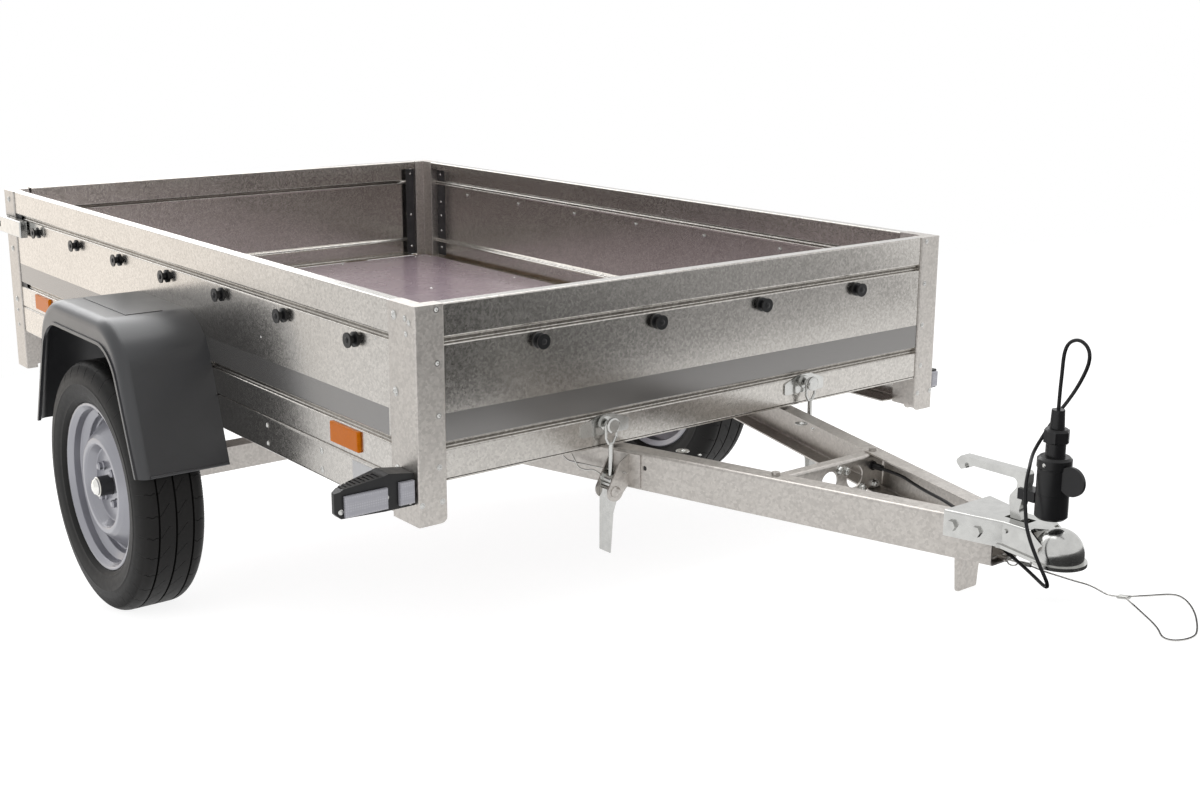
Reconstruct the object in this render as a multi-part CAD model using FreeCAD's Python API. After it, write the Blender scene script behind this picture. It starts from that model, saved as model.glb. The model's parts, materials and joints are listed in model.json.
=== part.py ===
import FreeCAD, Part
import math
import os

# Galvanised single-axle utility trailer with a tipping load bed.
# It is drawn level: X forward, Y to the left, Z up, with the origin between
# the wheel centres. The last section sets it down nose first on its foot.

os.makedirs("parts", exist_ok=True)
Vec = FreeCAD.Vector

# Load bed
bed_length = 2160.0
bed_width = 1380.0
bed_front = 1070.0
bed_rear = bed_front - bed_length
bed_half = bed_width / 2
wall_low = 235.5
wall_height = 319.0
wall_high = wall_low + wall_height
wall_depth = 30.0
skin = 2.0
skin_inset = 3.0
wall_face = bed_half - skin_inset
front_face = bed_front - skin_inset
groove_heights = (wall_height * 0.194, wall_height * 0.79)
groove_depth = 6.0
groove_width = 8.0
groove_slope = 3.0
lower_flange = 32.0
top_return = 22.0
bend = 3.0
skin_bend = 1.0

# Corner posts
post_leg = 60.0
front_post_side = 90.0
rear_post_side = 76.0
post_wall = 2.5
front_post_low = wall_low - 79.0
rear_post_low = wall_low - 180.0
post_corner = 14.0
cap_height = 4.0
wall_end = bed_half - post_leg

# Floor, side rails and cross members
floor_thickness = 12.0
floor_side_gap = 36.0
floor_front_gap = 36.0
floor_rear_gap = 40.0
rail_height = 75.0
rail_low = wall_low - rail_height
rail_flange = 60.0
rail_wall = 3.0
member_wall = 2.5
member_width = 40.0
notch_clearance = 8.0

# Tipping pivot between the drawbar and the bed
pivot_x = -20.0
pivot_z = wall_low - 48.0
lug_thickness = 8.0
lug_radius = 28.0
pin_radius = 8.0
pin_clearance = 0.05
pivot_gap = 0.3
pivot_plate = 5.0
pivot_member = pivot_x - 90.0
notched_members = (bed_front * 0.43, bed_front * 0.748)
full_members = (pivot_member + (bed_rear - pivot_member) * 0.378, pivot_member)

# Drawbar
drawbar_reach = 730.0
beam_nose = bed_front + drawbar_reach
beam_rear = pivot_x + 32.0
beam_inset = 131.0
beam_nose_half = 35.3
beam_rear_half = bed_half - beam_inset
beam_slope = (beam_rear_half - beam_nose_half) / (beam_nose - beam_rear)
beam_drop = 8.0
beam_height = 76.0
beam_high = wall_low - beam_drop
beam_low = beam_high - beam_height
beam_flange = 40.0
beam_wall = 3.0
beam_hole = 5.0
pivot_half = beam_rear_half - 14.0
tie_front = beam_nose - 398.0
tie_width = 24.0
tie_wall = 3.0
tie_hole_radius = 22.0
tie_hole_pitch = 69.0
tie_bolt_inset = 25.4
tie_bolt_radius = 4.0
tie_bolt_head = 7.5

# Axle, arms and wheels
axle_x = 135.0
axle_z = 58.5
axle_size = 55.0
axle_wall = 4.0
arm_inner = wall_face + 11.0
arm_thickness = 22.0
arm_tube_radius = 38.0
arm_hub_radius = 30.0
stub_radius = 15.0
hub_bore_clearance = 0.05
tyre_radius = 286.0
tyre_width = 157.0
wheel_plane = bed_half + 44.5 + tyre_width / 2
bead_radius = 177.8
rim_flange_radius = bead_radius + 14.0
rim_half_width = tyre_width / 2 - 21.5
rim_wall = 3.0
rim_offset = 30.0
vent_count = 12
vent_ring = 143.0
vent_length = 26.0
vent_width = 9.0
crown_radius = 103.0
crown_out = 57.0
wheel_bolt_count = 4
wheel_bolt_circle = 50.0
wheel_bolt_radius = 9.0
hub_flange_radius = 66.0
hub_body_radius = 34.0
hub_tube_radius = 22.5
hub_cap_radius = 19.5
seat_gap = 0.3

# Mudguards
guard_centre = -28.0
guard_outer = wheel_plane + tyre_width / 2 - 1.5
guard_top = tyre_radius + 116.5
guard_low = 86.5
guard_top_half = tyre_radius - 68.0
guard_low_half = tyre_radius + 32.0
guard_bend = 130.0
guard_wall = 4.0
guard_edge = 24.0
lip_depth = 56.0
lip_foot = 24.0
lip_bend = 100.0
bead_width = 7.0
bead_height = 3.0

# Coupling
coupling_rise = 8.0
coupling_top = beam_high + coupling_rise
coupling_rear = beam_nose - 80.0
coupling_kink = beam_nose + 20.0
coupling_depth = 45.0
coupling_side_low = coupling_top - coupling_depth
coupling_wall = 4.0
coupling_edge = 4.0
ball_x = beam_nose + 105.0
ball_z = coupling_top - 36.0
ball_radius = 25.0
dome_radius = ball_radius + 15.0
coupling_half = dome_radius - 4.0
rim_band = 6.0
rim_step = 5.0
skirt_depth = 18.0
shell_end = ball_x + 14.0
tongue_start = ball_x - 41.5
tongue_end = ball_x - 14.5
tongue_half = 7.0
slot_half = 12.0
slot_rear = beam_nose + 4.0
slot_front = beam_nose + 50.0
handle_half = 10.0
handle_pin_radius = 4.0

# Foot under the nose
foot_x = beam_nose - 75.0
foot_top_width = 17.0
foot_low_width = 7.0
foot_drop = 69.5
foot_half = 24.5
foot_wall = 3.0
foot_corner = 6.0

# Tailgate
gate_gap = 6.0
gate_hinge_x = bed_rear - 8.0
gate_hinge_z = wall_low + 2.0
hinge_radius = 7.0
hinge_pin = 4.0
hinge_half = 30.0

# Tipping latches between the front wall and the drawbar
latch_x = bed_front + 18.0
latch_offset = 27.0
stud_z = wall_low + 44.0
stud_radius = 6.5
stud_flange = 15.0
ring_wire = 3.0
shank_radius = 5.0
shank_low = wall_low - 72.0
trunnion_z = wall_low - 64.0
trunnion_radius = 10.0
lever_half = 16.0
lever_wall = 2.5
lever_low = wall_low - 206.0
lever_depth = 9.0
lever_pin_z = wall_low - 84.0
lever_pin_radius = 6.0
lever_face = 15.0
lever_pin_offset = 4.0
lever_boss = 19.0
cheek_wall = 3.0
cheek_gap = 0.4
clip_radius = 1.5


def mirrored(shape):
    return shape.mirror(Vec(0, 0, 0), Vec(0, 1, 0))


def both_sides(shapes):
    """The given left-hand pieces and their right-hand twins, side by side."""
    shapes = list(shapes)
    return Part.makeCompound(shapes + [mirrored(s) for s in shapes])


def block(x0, x1, y0, y1, z0, z1):
    return Part.makeBox(x1 - x0, y1 - y0, z1 - z0, Vec(x0, y0, z0))


def fuse(shapes):
    shapes = list(shapes)
    if len(shapes) == 1:
        return shapes[0]
    return shapes[0].multiFuse(shapes[1:]).removeSplitter()


def corner_wire(points, radii):
    """A closed wire with each corner rounded by its own radius."""
    edges = []
    count = len(points)
    ends = []
    for i in range(count):
        before, here, after = points[i - 1], points[i], points[(i + 1) % count]
        radius = radii[i]
        u = (before - here).normalize()
        v = (after - here).normalize()
        angle = u.getAngle(v)
        if radius <= 0 or abs(angle - math.pi) < 1e-4:
            ends.append((here, None, here))
            continue
        reach = radius / math.tan(angle / 2)
        middle = (u + v).normalize()
        centre = here + middle * (radius / math.sin(angle / 2))
        ends.append((here + u * reach, centre - middle * radius, here + v * reach))
    for i in range(count):
        start, mid, stop = ends[i]
        if mid is not None:
            edges.append(Part.Arc(start, mid, stop).toShape())
        following = ends[(i + 1) % count][0]
        if (following - stop).Length > 1e-6:
            edges.append(Part.LineSegment(stop, following).toShape())
    return Part.Wire(edges)


def plate(points, axis, low, high, radius=0.0):
    """A flat outline across the named axis, made thick from low to high."""
    radii = [radius] * len(points) if isinstance(radius, (int, float)) else radius
    place = {
        "x": lambda a, b: Vec(low, a, b),
        "y": lambda a, b: Vec(a, low, b),
        "z": lambda a, b: Vec(a, b, low),
    }[axis]
    away = {"x": Vec(1, 0, 0), "y": Vec(0, 1, 0), "z": Vec(0, 0, 1)}[axis]
    wire = corner_wire([place(a, b) for a, b in points], radii)
    return Part.Face(wire).extrude(away * (high - low))


def fold_outline(path, thickness, inner_bend):
    """Outline and corner radii of a folded sheet, thickened to the left of its path."""
    count = len(path)
    normals = []
    for i in range(count - 1):
        du = path[i + 1][0] - path[i][0]
        dv = path[i + 1][1] - path[i][1]
        size = math.hypot(du, dv)
        normals.append((-dv / size, du / size))
    other = []
    path_radii = []
    other_radii = []
    for i in range(count):
        if i == 0 or i == count - 1:
            n = normals[0] if i == 0 else normals[-1]
            other.append((path[i][0] + n[0] * thickness, path[i][1] + n[1] * thickness))
            path_radii.append(0.0)
            other_radii.append(0.0)
            continue
        a, b = normals[i - 1], normals[i]
        scale = thickness / (1 + a[0] * b[0] + a[1] * b[1])
        other.append((path[i][0] + (a[0] + b[0]) * scale, path[i][1] + (a[1] + b[1]) * scale))
        left_turn = a[0] * b[1] - a[1] * b[0] > 0
        path_radii.append(inner_bend + thickness if left_turn else inner_bend)
        other_radii.append(inner_bend if left_turn else inner_bend + thickness)
    return list(path) + other[::-1], path_radii + other_radii[::-1]


def folded(path, thickness, axis, low, high, inner_bend=bend):
    outline, radii = fold_outline(path, thickness, inner_bend)
    return plate(outline, axis, low, high, radii)


def rod(start, end, radius):
    start, end = Vec(*start), Vec(*end)
    return Part.makeCylinder(radius, (end - start).Length, start, end - start)


def revolved(points, centre, direction):
    """Turn a closed (radius, distance) outline about a line."""
    axis = Vec(*direction).normalize()
    side = Vec(0, 0, 1) if abs(axis.z) < 0.9 else Vec(1, 0, 0)
    base = Vec(*centre)
    corners = [base + side * r + axis * d for r, d in points]
    wire = Part.makePolygon(corners + [corners[0]])
    return Part.Face(wire).revolve(base, axis, 360)


def swept(path, radius):
    """A round bar or wire that follows the given path."""
    first = path.OrderedEdges[0]
    start = first.valueAt(first.FirstParameter)
    circle = Part.Circle(start, first.tangentAt(first.FirstParameter), radius).toShape()
    return path.makePipeShell([Part.Wire([circle])], True, False)


def route(points):
    """Straight runs through the given corners, with the widest arc that fits in each."""
    corners = [Vec(*p) for p in points]
    edges = []
    start = corners[0]
    for i in range(1, len(corners) - 1):
        u = corners[i - 1] - corners[i]
        v = corners[i + 1] - corners[i]
        reach = 0.45 * min(u.Length, v.Length)
        turn = math.pi - u.getAngle(v)
        arc_radius = reach / math.tan(turn / 2)
        u.normalize()
        v.normalize()
        first = corners[i] + u * reach
        last = corners[i] + v * reach
        inward = (u + v).normalize()
        middle = corners[i] + inward * (arc_radius / math.cos(turn / 2) - arc_radius)
        edges.append(Part.LineSegment(start, first).toShape())
        edges.append(Part.Arc(first, middle, last).toShape())
        start = last
    edges.append(Part.LineSegment(start, corners[-1]).toShape())
    return Part.Wire(edges)


def tightest_bend(path):
    return min(e.Curve.Radius for e in path.Edges if hasattr(e.Curve, "Radius"))


def beam_y(x):
    """Half spread of the drawbar at its outer faces."""
    return beam_nose_half + (beam_nose - x) * beam_slope


latch_y = beam_y(latch_x) + latch_offset


nodes = {}

# Walls


def wall_section():
    """Outward distance and height of the wall sheet, from the floor edge up."""
    points = [(-lower_flange, wall_low), (0.0, wall_low)]
    for height in groove_heights:
        z = wall_low + height
        points += [
            (0.0, z - groove_width / 2 - groove_slope),
            (-groove_depth, z - groove_width / 2),
            (-groove_depth, z + groove_width / 2),
            (0.0, z + groove_width / 2 + groove_slope),
        ]
    points += [
        (0.0, wall_high),
        (skin_inset - wall_depth, wall_high),
        (skin_inset - wall_depth, wall_high - top_return),
    ]
    return points


def wall(outer, axis, low, high):
    """A wall across the named axis, its grooves running from post to post."""
    path = [(outer + u, z) for u, z in wall_section()]
    return folded(path, skin, axis, low, high, skin_bend)


side_start = bed_rear + rear_post_side
side_end = bed_front - front_post_side
side_wall = wall(wall_face, "x", side_start, side_end)
nodes["side_walls"] = both_sides([side_wall])
nodes["front_wall"] = wall(front_face, "y", -wall_end, wall_end)

# Corner posts


def post_outline(corner_x, inward, side_leg, inset):
    """L-shaped outline at the left side; inward is -1 at the front and 1 at the rear."""
    inner_y = bed_half - wall_depth + inset
    inner_x = corner_x + inward * (wall_depth - inset)
    return [
        (corner_x + inward * inset, bed_half - inset),
        (corner_x + inward * (side_leg - inset), bed_half - inset),
        (corner_x + inward * (side_leg - inset), inner_y),
        (inner_x, inner_y),
        (inner_x, bed_half - post_leg + inset),
        (corner_x + inward * inset, bed_half - post_leg + inset),
    ]


def post(corner_x, inward, side_leg, low):
    """A hollow post whose cross leg is rounded at its lower inner corner."""
    outer_radii = [bend, bend, skin_bend, skin_bend, skin_bend, bend]
    body = plate(post_outline(corner_x, inward, side_leg, 0.0), "z", low, wall_high - cap_height,
                 outer_radii)
    hollow = plate(post_outline(corner_x, inward, side_leg, post_wall), "z", low - 1, wall_high)
    leg_y = bed_half - post_leg
    square = block(corner_x - post_leg, corner_x + post_leg, leg_y - 1, leg_y + post_corner,
                   low - 1, low + post_corner)
    round_off = rod((corner_x - post_leg, leg_y + post_corner, low + post_corner),
                    (corner_x + post_leg, leg_y + post_corner, low + post_corner), post_corner)
    return body.cut(hollow).cut(square.cut(round_off))


def post_cap(corner_x, inward, side_leg):
    outline = post_outline(corner_x, inward, side_leg, 0.0)
    return plate(outline, "z", wall_high - cap_height, wall_high, bend / 2)


front_post = post(bed_front, -1, front_post_side, front_post_low)
rear_post = post(bed_rear, 1, rear_post_side, rear_post_low)
nodes["front_posts"] = both_sides([front_post])
nodes["rear_posts"] = both_sides([rear_post])
nodes["post_caps"] = both_sides([
    post_cap(bed_front, -1, front_post_side), post_cap(bed_rear, 1, rear_post_side)
])

# Floor, side rails and cross members

floor_low = wall_low
floor_high = floor_low + floor_thickness
floor_half = bed_half - floor_side_gap
floor_front = bed_front - floor_front_gap
floor_rear = bed_rear + floor_rear_gap
nodes["floor_board"] = block(
    floor_rear, floor_front, -floor_half, floor_half, floor_low, floor_high
)

rail_path = [
    (wall_face - rail_flange, rail_low),
    (wall_face, rail_low),
    (wall_face, wall_low),
    (wall_face - rail_flange, wall_low),
]
side_rail = folded(rail_path, rail_wall, "x", side_start, side_end)
nodes["side_rails"] = both_sides([side_rail])

member_half = wall_face - rail_wall - bend


def cross_member(x):
    """A channel across the bed, its web facing forward at x; its ends tuck into the side rails."""
    path = [
        (x - member_width, rail_low + rail_wall),
        (x, rail_low + rail_wall),
        (x, wall_low),
        (x - member_width, wall_low),
    ]
    channel = folded(path, member_wall, "y", -member_half, member_half)
    flange_tip = wall_face - rail_flange
    end = block(x - member_width - 1, x + 1, flange_tip, bed_half, wall_low - rail_wall, wall_low + 1)
    return channel.cut(end).cut(mirrored(end))


def beam_notch(x):
    """The slot in a cross member that the drawbar beam drops into."""
    half = notch_clearance
    low = x - member_width - half
    high = x + half
    outline = [
        (low, beam_y(low) + half),
        (high, beam_y(high) + half),
        (high, beam_y(high) - beam_flange - half),
        (low, beam_y(low) - beam_flange - half),
    ]
    return plate(outline, "z", rail_low - 10, wall_low - member_wall)


members = []
for x in notched_members:
    channel = cross_member(x)
    slot = beam_notch(x)
    members.append(channel.cut(slot).cut(mirrored(slot)))
for x in full_members:
    members.append(cross_member(x))
pieces = []
for member in members:
    pieces += member.Solids
nodes["floor_members"] = Part.makeCompound(pieces)

strip_depth = 80.0
nodes["floor_front_strip"] = block(
    front_face - strip_depth, front_face,
    -wall_face + rail_flange, wall_face - rail_flange, wall_low - rail_wall, wall_low
)

# Rear sill that carries the tailgate hinges and the lamp boards
sill_depth = 40.0
sill_path = [
    (bed_rear + 4 + sill_depth, rail_low),
    (bed_rear + 4, rail_low),
    (bed_rear + 4, wall_low),
    (bed_rear + 4 + sill_depth, wall_low),
]
sill_half = bed_half - post_leg
nodes["rear_sill"] = folded(sill_path[::-1], rail_wall, "y", -sill_half, sill_half)

# Drawbar beams


def beam_slab(x0, x1, off0, off1, z0, z1):
    outline = [
        (x0, beam_y(x0) - off0),
        (x1, beam_y(x1) - off0),
        (x1, beam_y(x1) - off1),
        (x0, beam_y(x0) - off1),
    ]
    return plate(outline, "z", z0, z1)


def beam_channel():
    """The left beam: a channel open inward, run obliquely from its rear end to the nose."""
    outer = beam_y(beam_rear)
    path = [(outer - beam_flange, beam_low), (outer, beam_low), (outer, beam_high),
            (outer - beam_flange, beam_high)]
    outline, radii = fold_outline(path, beam_wall, bend)
    corners = [Vec(beam_rear, y, z) for y, z in outline]
    length = beam_nose - beam_rear
    return Part.Face(corner_wire(corners, radii)).extrude(Vec(length, -length * beam_slope, 0))


hole_x = bed_front + 68.0
hole_z = beam_high - 30.0
beam_bolt_hole = rod((hole_x, beam_y(hole_x) - 10, hole_z), (hole_x, beam_y(hole_x) + 10, hole_z),
                     beam_hole)
tie_bolt_x = tie_front - tie_width / 2
tie_bolt_y = beam_y(tie_bolt_x) - tie_bolt_inset
tie_bolt_hole = rod((tie_bolt_x, tie_bolt_y, beam_high - 10), (tie_bolt_x, tie_bolt_y, beam_high + 1),
                    tie_bolt_radius + 0.3)
beam = beam_channel().cut(beam_bolt_hole).cut(tie_bolt_hole)

# The beam's rear end carries a lug that turns on the pivot pin.
lug_front = pivot_x + 80.0
lug_low = pivot_half - lug_thickness / 2
lug_high = pivot_half + lug_thickness / 2
lug = fuse([
    block(pivot_x, lug_front, lug_low, lug_high, pivot_z - lug_radius, pivot_z + lug_radius),
    rod((pivot_x, lug_low, pivot_z), (pivot_x, lug_high, pivot_z), lug_radius),
])
lug_bore = rod((pivot_x, lug_low - 1, pivot_z), (pivot_x, lug_high + 1, pivot_z),
               pin_radius + pin_clearance)
gusset = plate(
    [
        (beam_rear, beam_y(beam_rear) - beam_wall / 2),
        (lug_front, beam_y(lug_front) - beam_wall / 2),
        (lug_front, lug_low),
        (beam_rear, lug_low),
    ],
    "z", pivot_z - lug_radius, pivot_z - lug_radius + 5.0,
)
gusset_top = gusset.translated(Vec(0, 0, 2 * lug_radius - 5.0))
beam = fuse([beam, lug.cut(lug_bore), gusset, gusset_top])
nodes["drawbar_beams"] = both_sides([beam])

# Pivot brackets under the bed, each with its pin
bracket_side = pivot_plate
plate_low = lug_low - pivot_gap - bracket_side
plate_high = lug_high + pivot_gap
bracket_rear = full_members[-1]
bracket_front = pivot_x + lug_radius
bracket_plates = []
for y in (plate_low, plate_high):
    bracket_plates.append(
        block(bracket_rear, bracket_front, y, y + bracket_side,
              pivot_z - lug_radius, wall_low)
    )
bracket_head = block(bracket_rear, bracket_rear + 5.0, plate_low, plate_high + bracket_side,
                     pivot_z - lug_radius, wall_low)
pin = rod((pivot_x, plate_low - 10, pivot_z), (pivot_x, plate_high + bracket_side + 10, pivot_z),
          pin_radius)
pivot_bracket = fuse(bracket_plates + [bracket_head, pin])
nodes["pivot_brackets"] = both_sides([pivot_bracket])

# Tie across the drawbar, tucked inside the beams
tie_rear = tie_front - tie_width
tie_low = beam_low + beam_wall
tie_high = beam_high - beam_wall
tie_path = [(tie_rear, tie_low), (tie_front, tie_low), (tie_front, tie_high), (tie_rear, tie_high)]
tie = folded(tie_path, tie_wall, "y", -beam_y(tie_rear), beam_y(tie_rear))
inside_beams = plate(
    [
        (tie_rear - 1, beam_y(tie_rear - 1) - beam_wall - bend),
        (tie_front + 1, beam_y(tie_front + 1) - beam_wall - bend),
        (tie_front + 1, -beam_y(tie_front + 1) + beam_wall + bend),
        (tie_rear - 1, -beam_y(tie_rear - 1) + beam_wall + bend),
    ],
    "z", tie_low - 1, tie_high + 1,
)
tie = tie.common(inside_beams)
tie_middle = (tie_low + tie_high) / 2
for y in (-tie_hole_pitch, 0.0, tie_hole_pitch):
    tie = tie.cut(rod((tie_rear, y, tie_middle), (tie_front + 10, y, tie_middle), tie_hole_radius))
tie_bolts = []
for y in (-tie_bolt_y, tie_bolt_y):
    tie_bolts.append(rod((tie_bolt_x, y, tie_high - 12), (tie_bolt_x, y, beam_high + 1), tie_bolt_radius))
    tie_bolts.append(rod((tie_bolt_x, y, beam_high + 0.2), (tie_bolt_x, y, beam_high + 6), tie_bolt_head))
tie = fuse([tie] + tie_bolts)
nodes["drawbar_tie"] = tie

# Coupling head: a pressed shell over the beams' noses, ending in the ball dome


def coupling_plan(grow):
    """Outline of the coupling from above, ending inside the dome."""
    rear_half = beam_y(coupling_rear) + grow
    front_half = coupling_half - coupling_wall + grow
    return [
        (coupling_rear, rear_half),
        (coupling_kink, front_half),
        (shell_end, front_half),
        (shell_end, -front_half),
        (coupling_kink, -front_half),
        (coupling_rear, -rear_half),
    ]


def ball_dome(radius, collar_radius):
    """The closed outline of a hemisphere on a skirt, turned about the ball's upright axis."""
    def at(r, z):
        return Vec(ball_x + r, 0, ball_z + z)
    skirt = -skirt_depth
    slant = radius / math.sqrt(2)
    edges = [
        Part.LineSegment(at(0, skirt), at(collar_radius, skirt)).toShape(),
        Part.LineSegment(at(collar_radius, skirt), at(collar_radius, skirt + rim_band)).toShape(),
    ]
    if collar_radius > radius:
        step = Part.LineSegment(at(collar_radius, skirt + rim_band), at(radius, skirt + rim_band))
        edges.append(step.toShape())
    edges += [
        Part.LineSegment(at(radius, skirt + rim_band), at(radius, 0)).toShape(),
        Part.Arc(at(radius, 0), at(slant, slant), at(0, radius)).toShape(),
        Part.LineSegment(at(0, radius), at(0, skirt)).toShape(),
    ]
    return Part.Face(Part.Wire(edges)).revolve(Vec(ball_x, 0, 0), Vec(0, 0, 1), 360)


seat = 0.1
shell_low = ball_z - skirt_depth
shell_block = plate(coupling_plan(coupling_wall), "z", shell_low, coupling_top)
top_edges = [e for e in shell_block.Edges
             if e.BoundBox.ZMin > coupling_top - 0.01 and abs(e.CenterOfMass.y) > 1.0]
shell_block = shell_block.makeFillet(coupling_edge, top_edges)
shell_cavity = plate(coupling_plan(seat), "z", shell_low - 1, coupling_top - coupling_wall)
shell = shell_block.cut(shell_cavity)

# Its lower edge is level over the beams and drops to the collar beyond the kink.
low_cut = plate(
    [
        (coupling_rear - 1, shell_low - 1),
        (shell_end + 1, shell_low - 1),
        (shell_end + 1, shell_low),
        (coupling_kink, coupling_side_low),
        (coupling_rear - 1, coupling_side_low),
    ],
    "y", -2 * dome_radius, 2 * dome_radius,
)
lip_plan = plate(coupling_plan(coupling_wall + rim_step - 1), "z", shell_low - 1, coupling_top)
lip_side = plate(
    [
        (coupling_kink - 8, coupling_side_low),
        (coupling_kink, coupling_side_low),
        (shell_end, shell_low),
        (shell_end, shell_low + rim_band),
        (coupling_kink, coupling_side_low + rim_band),
        (coupling_kink - 8, coupling_side_low + rim_band),
    ],
    "y", -2 * dome_radius, 2 * dome_radius,
)
lip = lip_plan.common(lip_side).cut(shell_cavity)
slot = block(slot_rear, slot_front, -slot_half, slot_half,
             coupling_top - 3 * coupling_wall, coupling_top + 1)

# The side plates are cut off obliquely down to the dome; the top plate ends in a tongue on it.
nose_cut = plate(
    [
        (tongue_start + 6, coupling_top + 2),
        (ball_x - 16, coupling_top - 14),
        (ball_x - 6, coupling_top - 21),
        (shell_end + 1, coupling_top - 33),
        (shell_end + 1, coupling_top + 2),
    ],
    "y", -2 * dome_radius, 2 * dome_radius,
)
tongue = plate(
    [
        (tongue_start - 10, -coupling_half), (tongue_start, -coupling_half + 6), (tongue_end, -tongue_half),
        (tongue_end, tongue_half), (tongue_start, coupling_half - 6), (tongue_start - 10, coupling_half),
    ],
    "z", coupling_top - coupling_wall, coupling_top + 3, [0.0, 6.0, 3.0, 3.0, 6.0, 0.0],
)
shell = shell.cut(nose_cut.cut(tongue))
handle_pin_x = beam_nose + 25.0
handle_pin_z = coupling_top - coupling_wall - 11.0
handle_pin = rod((handle_pin_x, -coupling_half - 3, handle_pin_z),
                 (handle_pin_x, coupling_half + 3, handle_pin_z), handle_pin_radius)
socket = ball_dome(ball_radius + 1.0, ball_radius + 1.0)
dome = ball_dome(dome_radius, dome_radius + rim_step)
coupling_bolts = []
bolt_head_radius = 9.5
bolt_head_height = 7.0
for x, drop in ((coupling_rear + 16, 24.0), (coupling_rear + 58, 26.0)):
    face = beam_y(x) + coupling_wall
    z = coupling_top - drop
    hexagon = [(x + bolt_head_radius * math.cos(math.pi * i / 3),
                z + bolt_head_radius * math.sin(math.pi * i / 3)) for i in range(6)]
    head = plate(hexagon, "y", face - coupling_wall, face + bolt_head_height)
    bolt = head.cut(beam)
    coupling_bolts += [bolt, mirrored(bolt)]
coupling = fuse([shell.cut(low_cut), lip, dome, handle_pin] + coupling_bolts).cut(socket).cut(slot)
nodes["coupling_head"] = coupling

# Coupling handle: a lifting lever that stands in the slot on its pin


def from_nose(ahead, rise):
    """A point of the coupling's side view, measured from the beams' nose and the coupling's top."""
    return (beam_nose + ahead, coupling_top + rise)


handle_points = [
    from_nose(13, -22), from_nose(37, -22), from_nose(36, 1), from_nose(30, 17), from_nose(35, 38),
    from_nose(41, 66), from_nose(41, 84), from_nose(-92, 83), from_nose(-104, 71), from_nose(-92, 58),
    from_nose(-72, 66), from_nose(-66, 69.5), from_nose(24, 69.5), from_nose(23, 55), from_nose(10, 38),
    from_nose(10, 28), from_nose(14, 4),
]
handle_radii = [3.0, 3.0, 8.0, 12.0, 20.0, 12.0, 6.0, 8.0, 6.0, 4.0, 4.0, 4.0, 9.0, 6.0, 5.0, 5.0, 6.0]
handle = plate(handle_points, "y", -handle_half, handle_half, handle_radii)
hook_x, hook_rise = from_nose(-79, 68)
hook_radius = 4.5
hook = rod((hook_x, -handle_half - 1, hook_rise), (hook_x, handle_half + 1, hook_rise), hook_radius)
hook_mouth = block(hook_x - hook_radius / 2, hook_x + hook_radius / 2, -handle_half - 1, handle_half + 1,
                   hook_rise - 20, hook_rise)
handle = handle.cut(hook).cut(hook_mouth)
handle_bore = rod((handle_pin_x, -handle_half - 1, handle_pin_z),
                  (handle_pin_x, handle_half + 1, handle_pin_z), handle_pin_radius + pin_clearance)
handle = handle.cut(handle_bore)
nodes["coupling_handle"] = handle

# Foot under the drawbar nose, cut to stand flat when the trailer is parked
foot_z = beam_low - foot_drop


def park_angle():
    """Nose-down angle that brings the foot level with the tyres' lowest line."""
    angle = 0.2
    for _ in range(40):
        angle = math.asin((tyre_radius + foot_z * math.cos(angle)) / foot_x)
    return angle


pitch = park_angle()
ground_tilt = math.tan(pitch)


def ground_under(x):
    """Height of the parking ground below the level trailer at x."""
    return foot_z + (x - foot_x) * ground_tilt


foot_top = beam_low
half_top = foot_top_width / 2
half_low = foot_low_width / 2
foot_side = [
    (foot_x - half_top, foot_top),
    (foot_x + half_top, foot_top),
    (foot_x + half_low, ground_under(foot_x + half_low)),
    (foot_x - half_low, ground_under(foot_x - half_low)),
]
foot_wedge = plate(foot_side, "y", -foot_half, foot_half)
foot_front = plate(
    [(-foot_half, foot_top), (-foot_half, foot_z - 1.5), (foot_half, foot_z - 1.5), (foot_half, foot_top)],
    "x", foot_x - half_top - 1, foot_x + half_top + 1, [0.0, foot_corner, foot_corner, 0.0],
)
foot_inner = plate(
    [
        (foot_x - half_top + foot_wall, foot_top + 1),
        (foot_x + half_top - foot_wall, foot_top + 1),
        (foot_x, foot_z + 4 * foot_wall),
    ],
    "y", -foot_half + foot_wall, foot_half - foot_wall,
)
nodes["drawbar_foot"] = foot_wedge.common(foot_front).cut(foot_inner)

# Axle tube, arms and stub axles
axle_half = arm_inner
outer_box = block(axle_x - axle_size / 2, axle_x + axle_size / 2, -axle_half, axle_half,
                  axle_z - axle_size / 2, axle_z + axle_size / 2)
inner_size = axle_size - 2 * axle_wall
inner_box = block(axle_x - inner_size / 2, axle_x + inner_size / 2, -axle_half - 1, axle_half + 1,
                  axle_z - inner_size / 2, axle_z + inner_size / 2)
axle = outer_box.cut(inner_box)
nodes["axle_tube"] = axle
hanger_y = wall_face - rail_flange / 2
hanger_top = rail_low
hanger = block(axle_x - 40, axle_x + 40, hanger_y - 4, hanger_y + 4,
               axle_z + axle_size / 2, hanger_top)
hanger_foot = block(axle_x - 40, axle_x + 40, hanger_y - 24, hanger_y + 24,
                    hanger_top - 5, hanger_top)
axle_hanger = fuse([hanger, hanger_foot])
nodes["axle_hangers"] = both_sides([axle_hanger])


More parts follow.
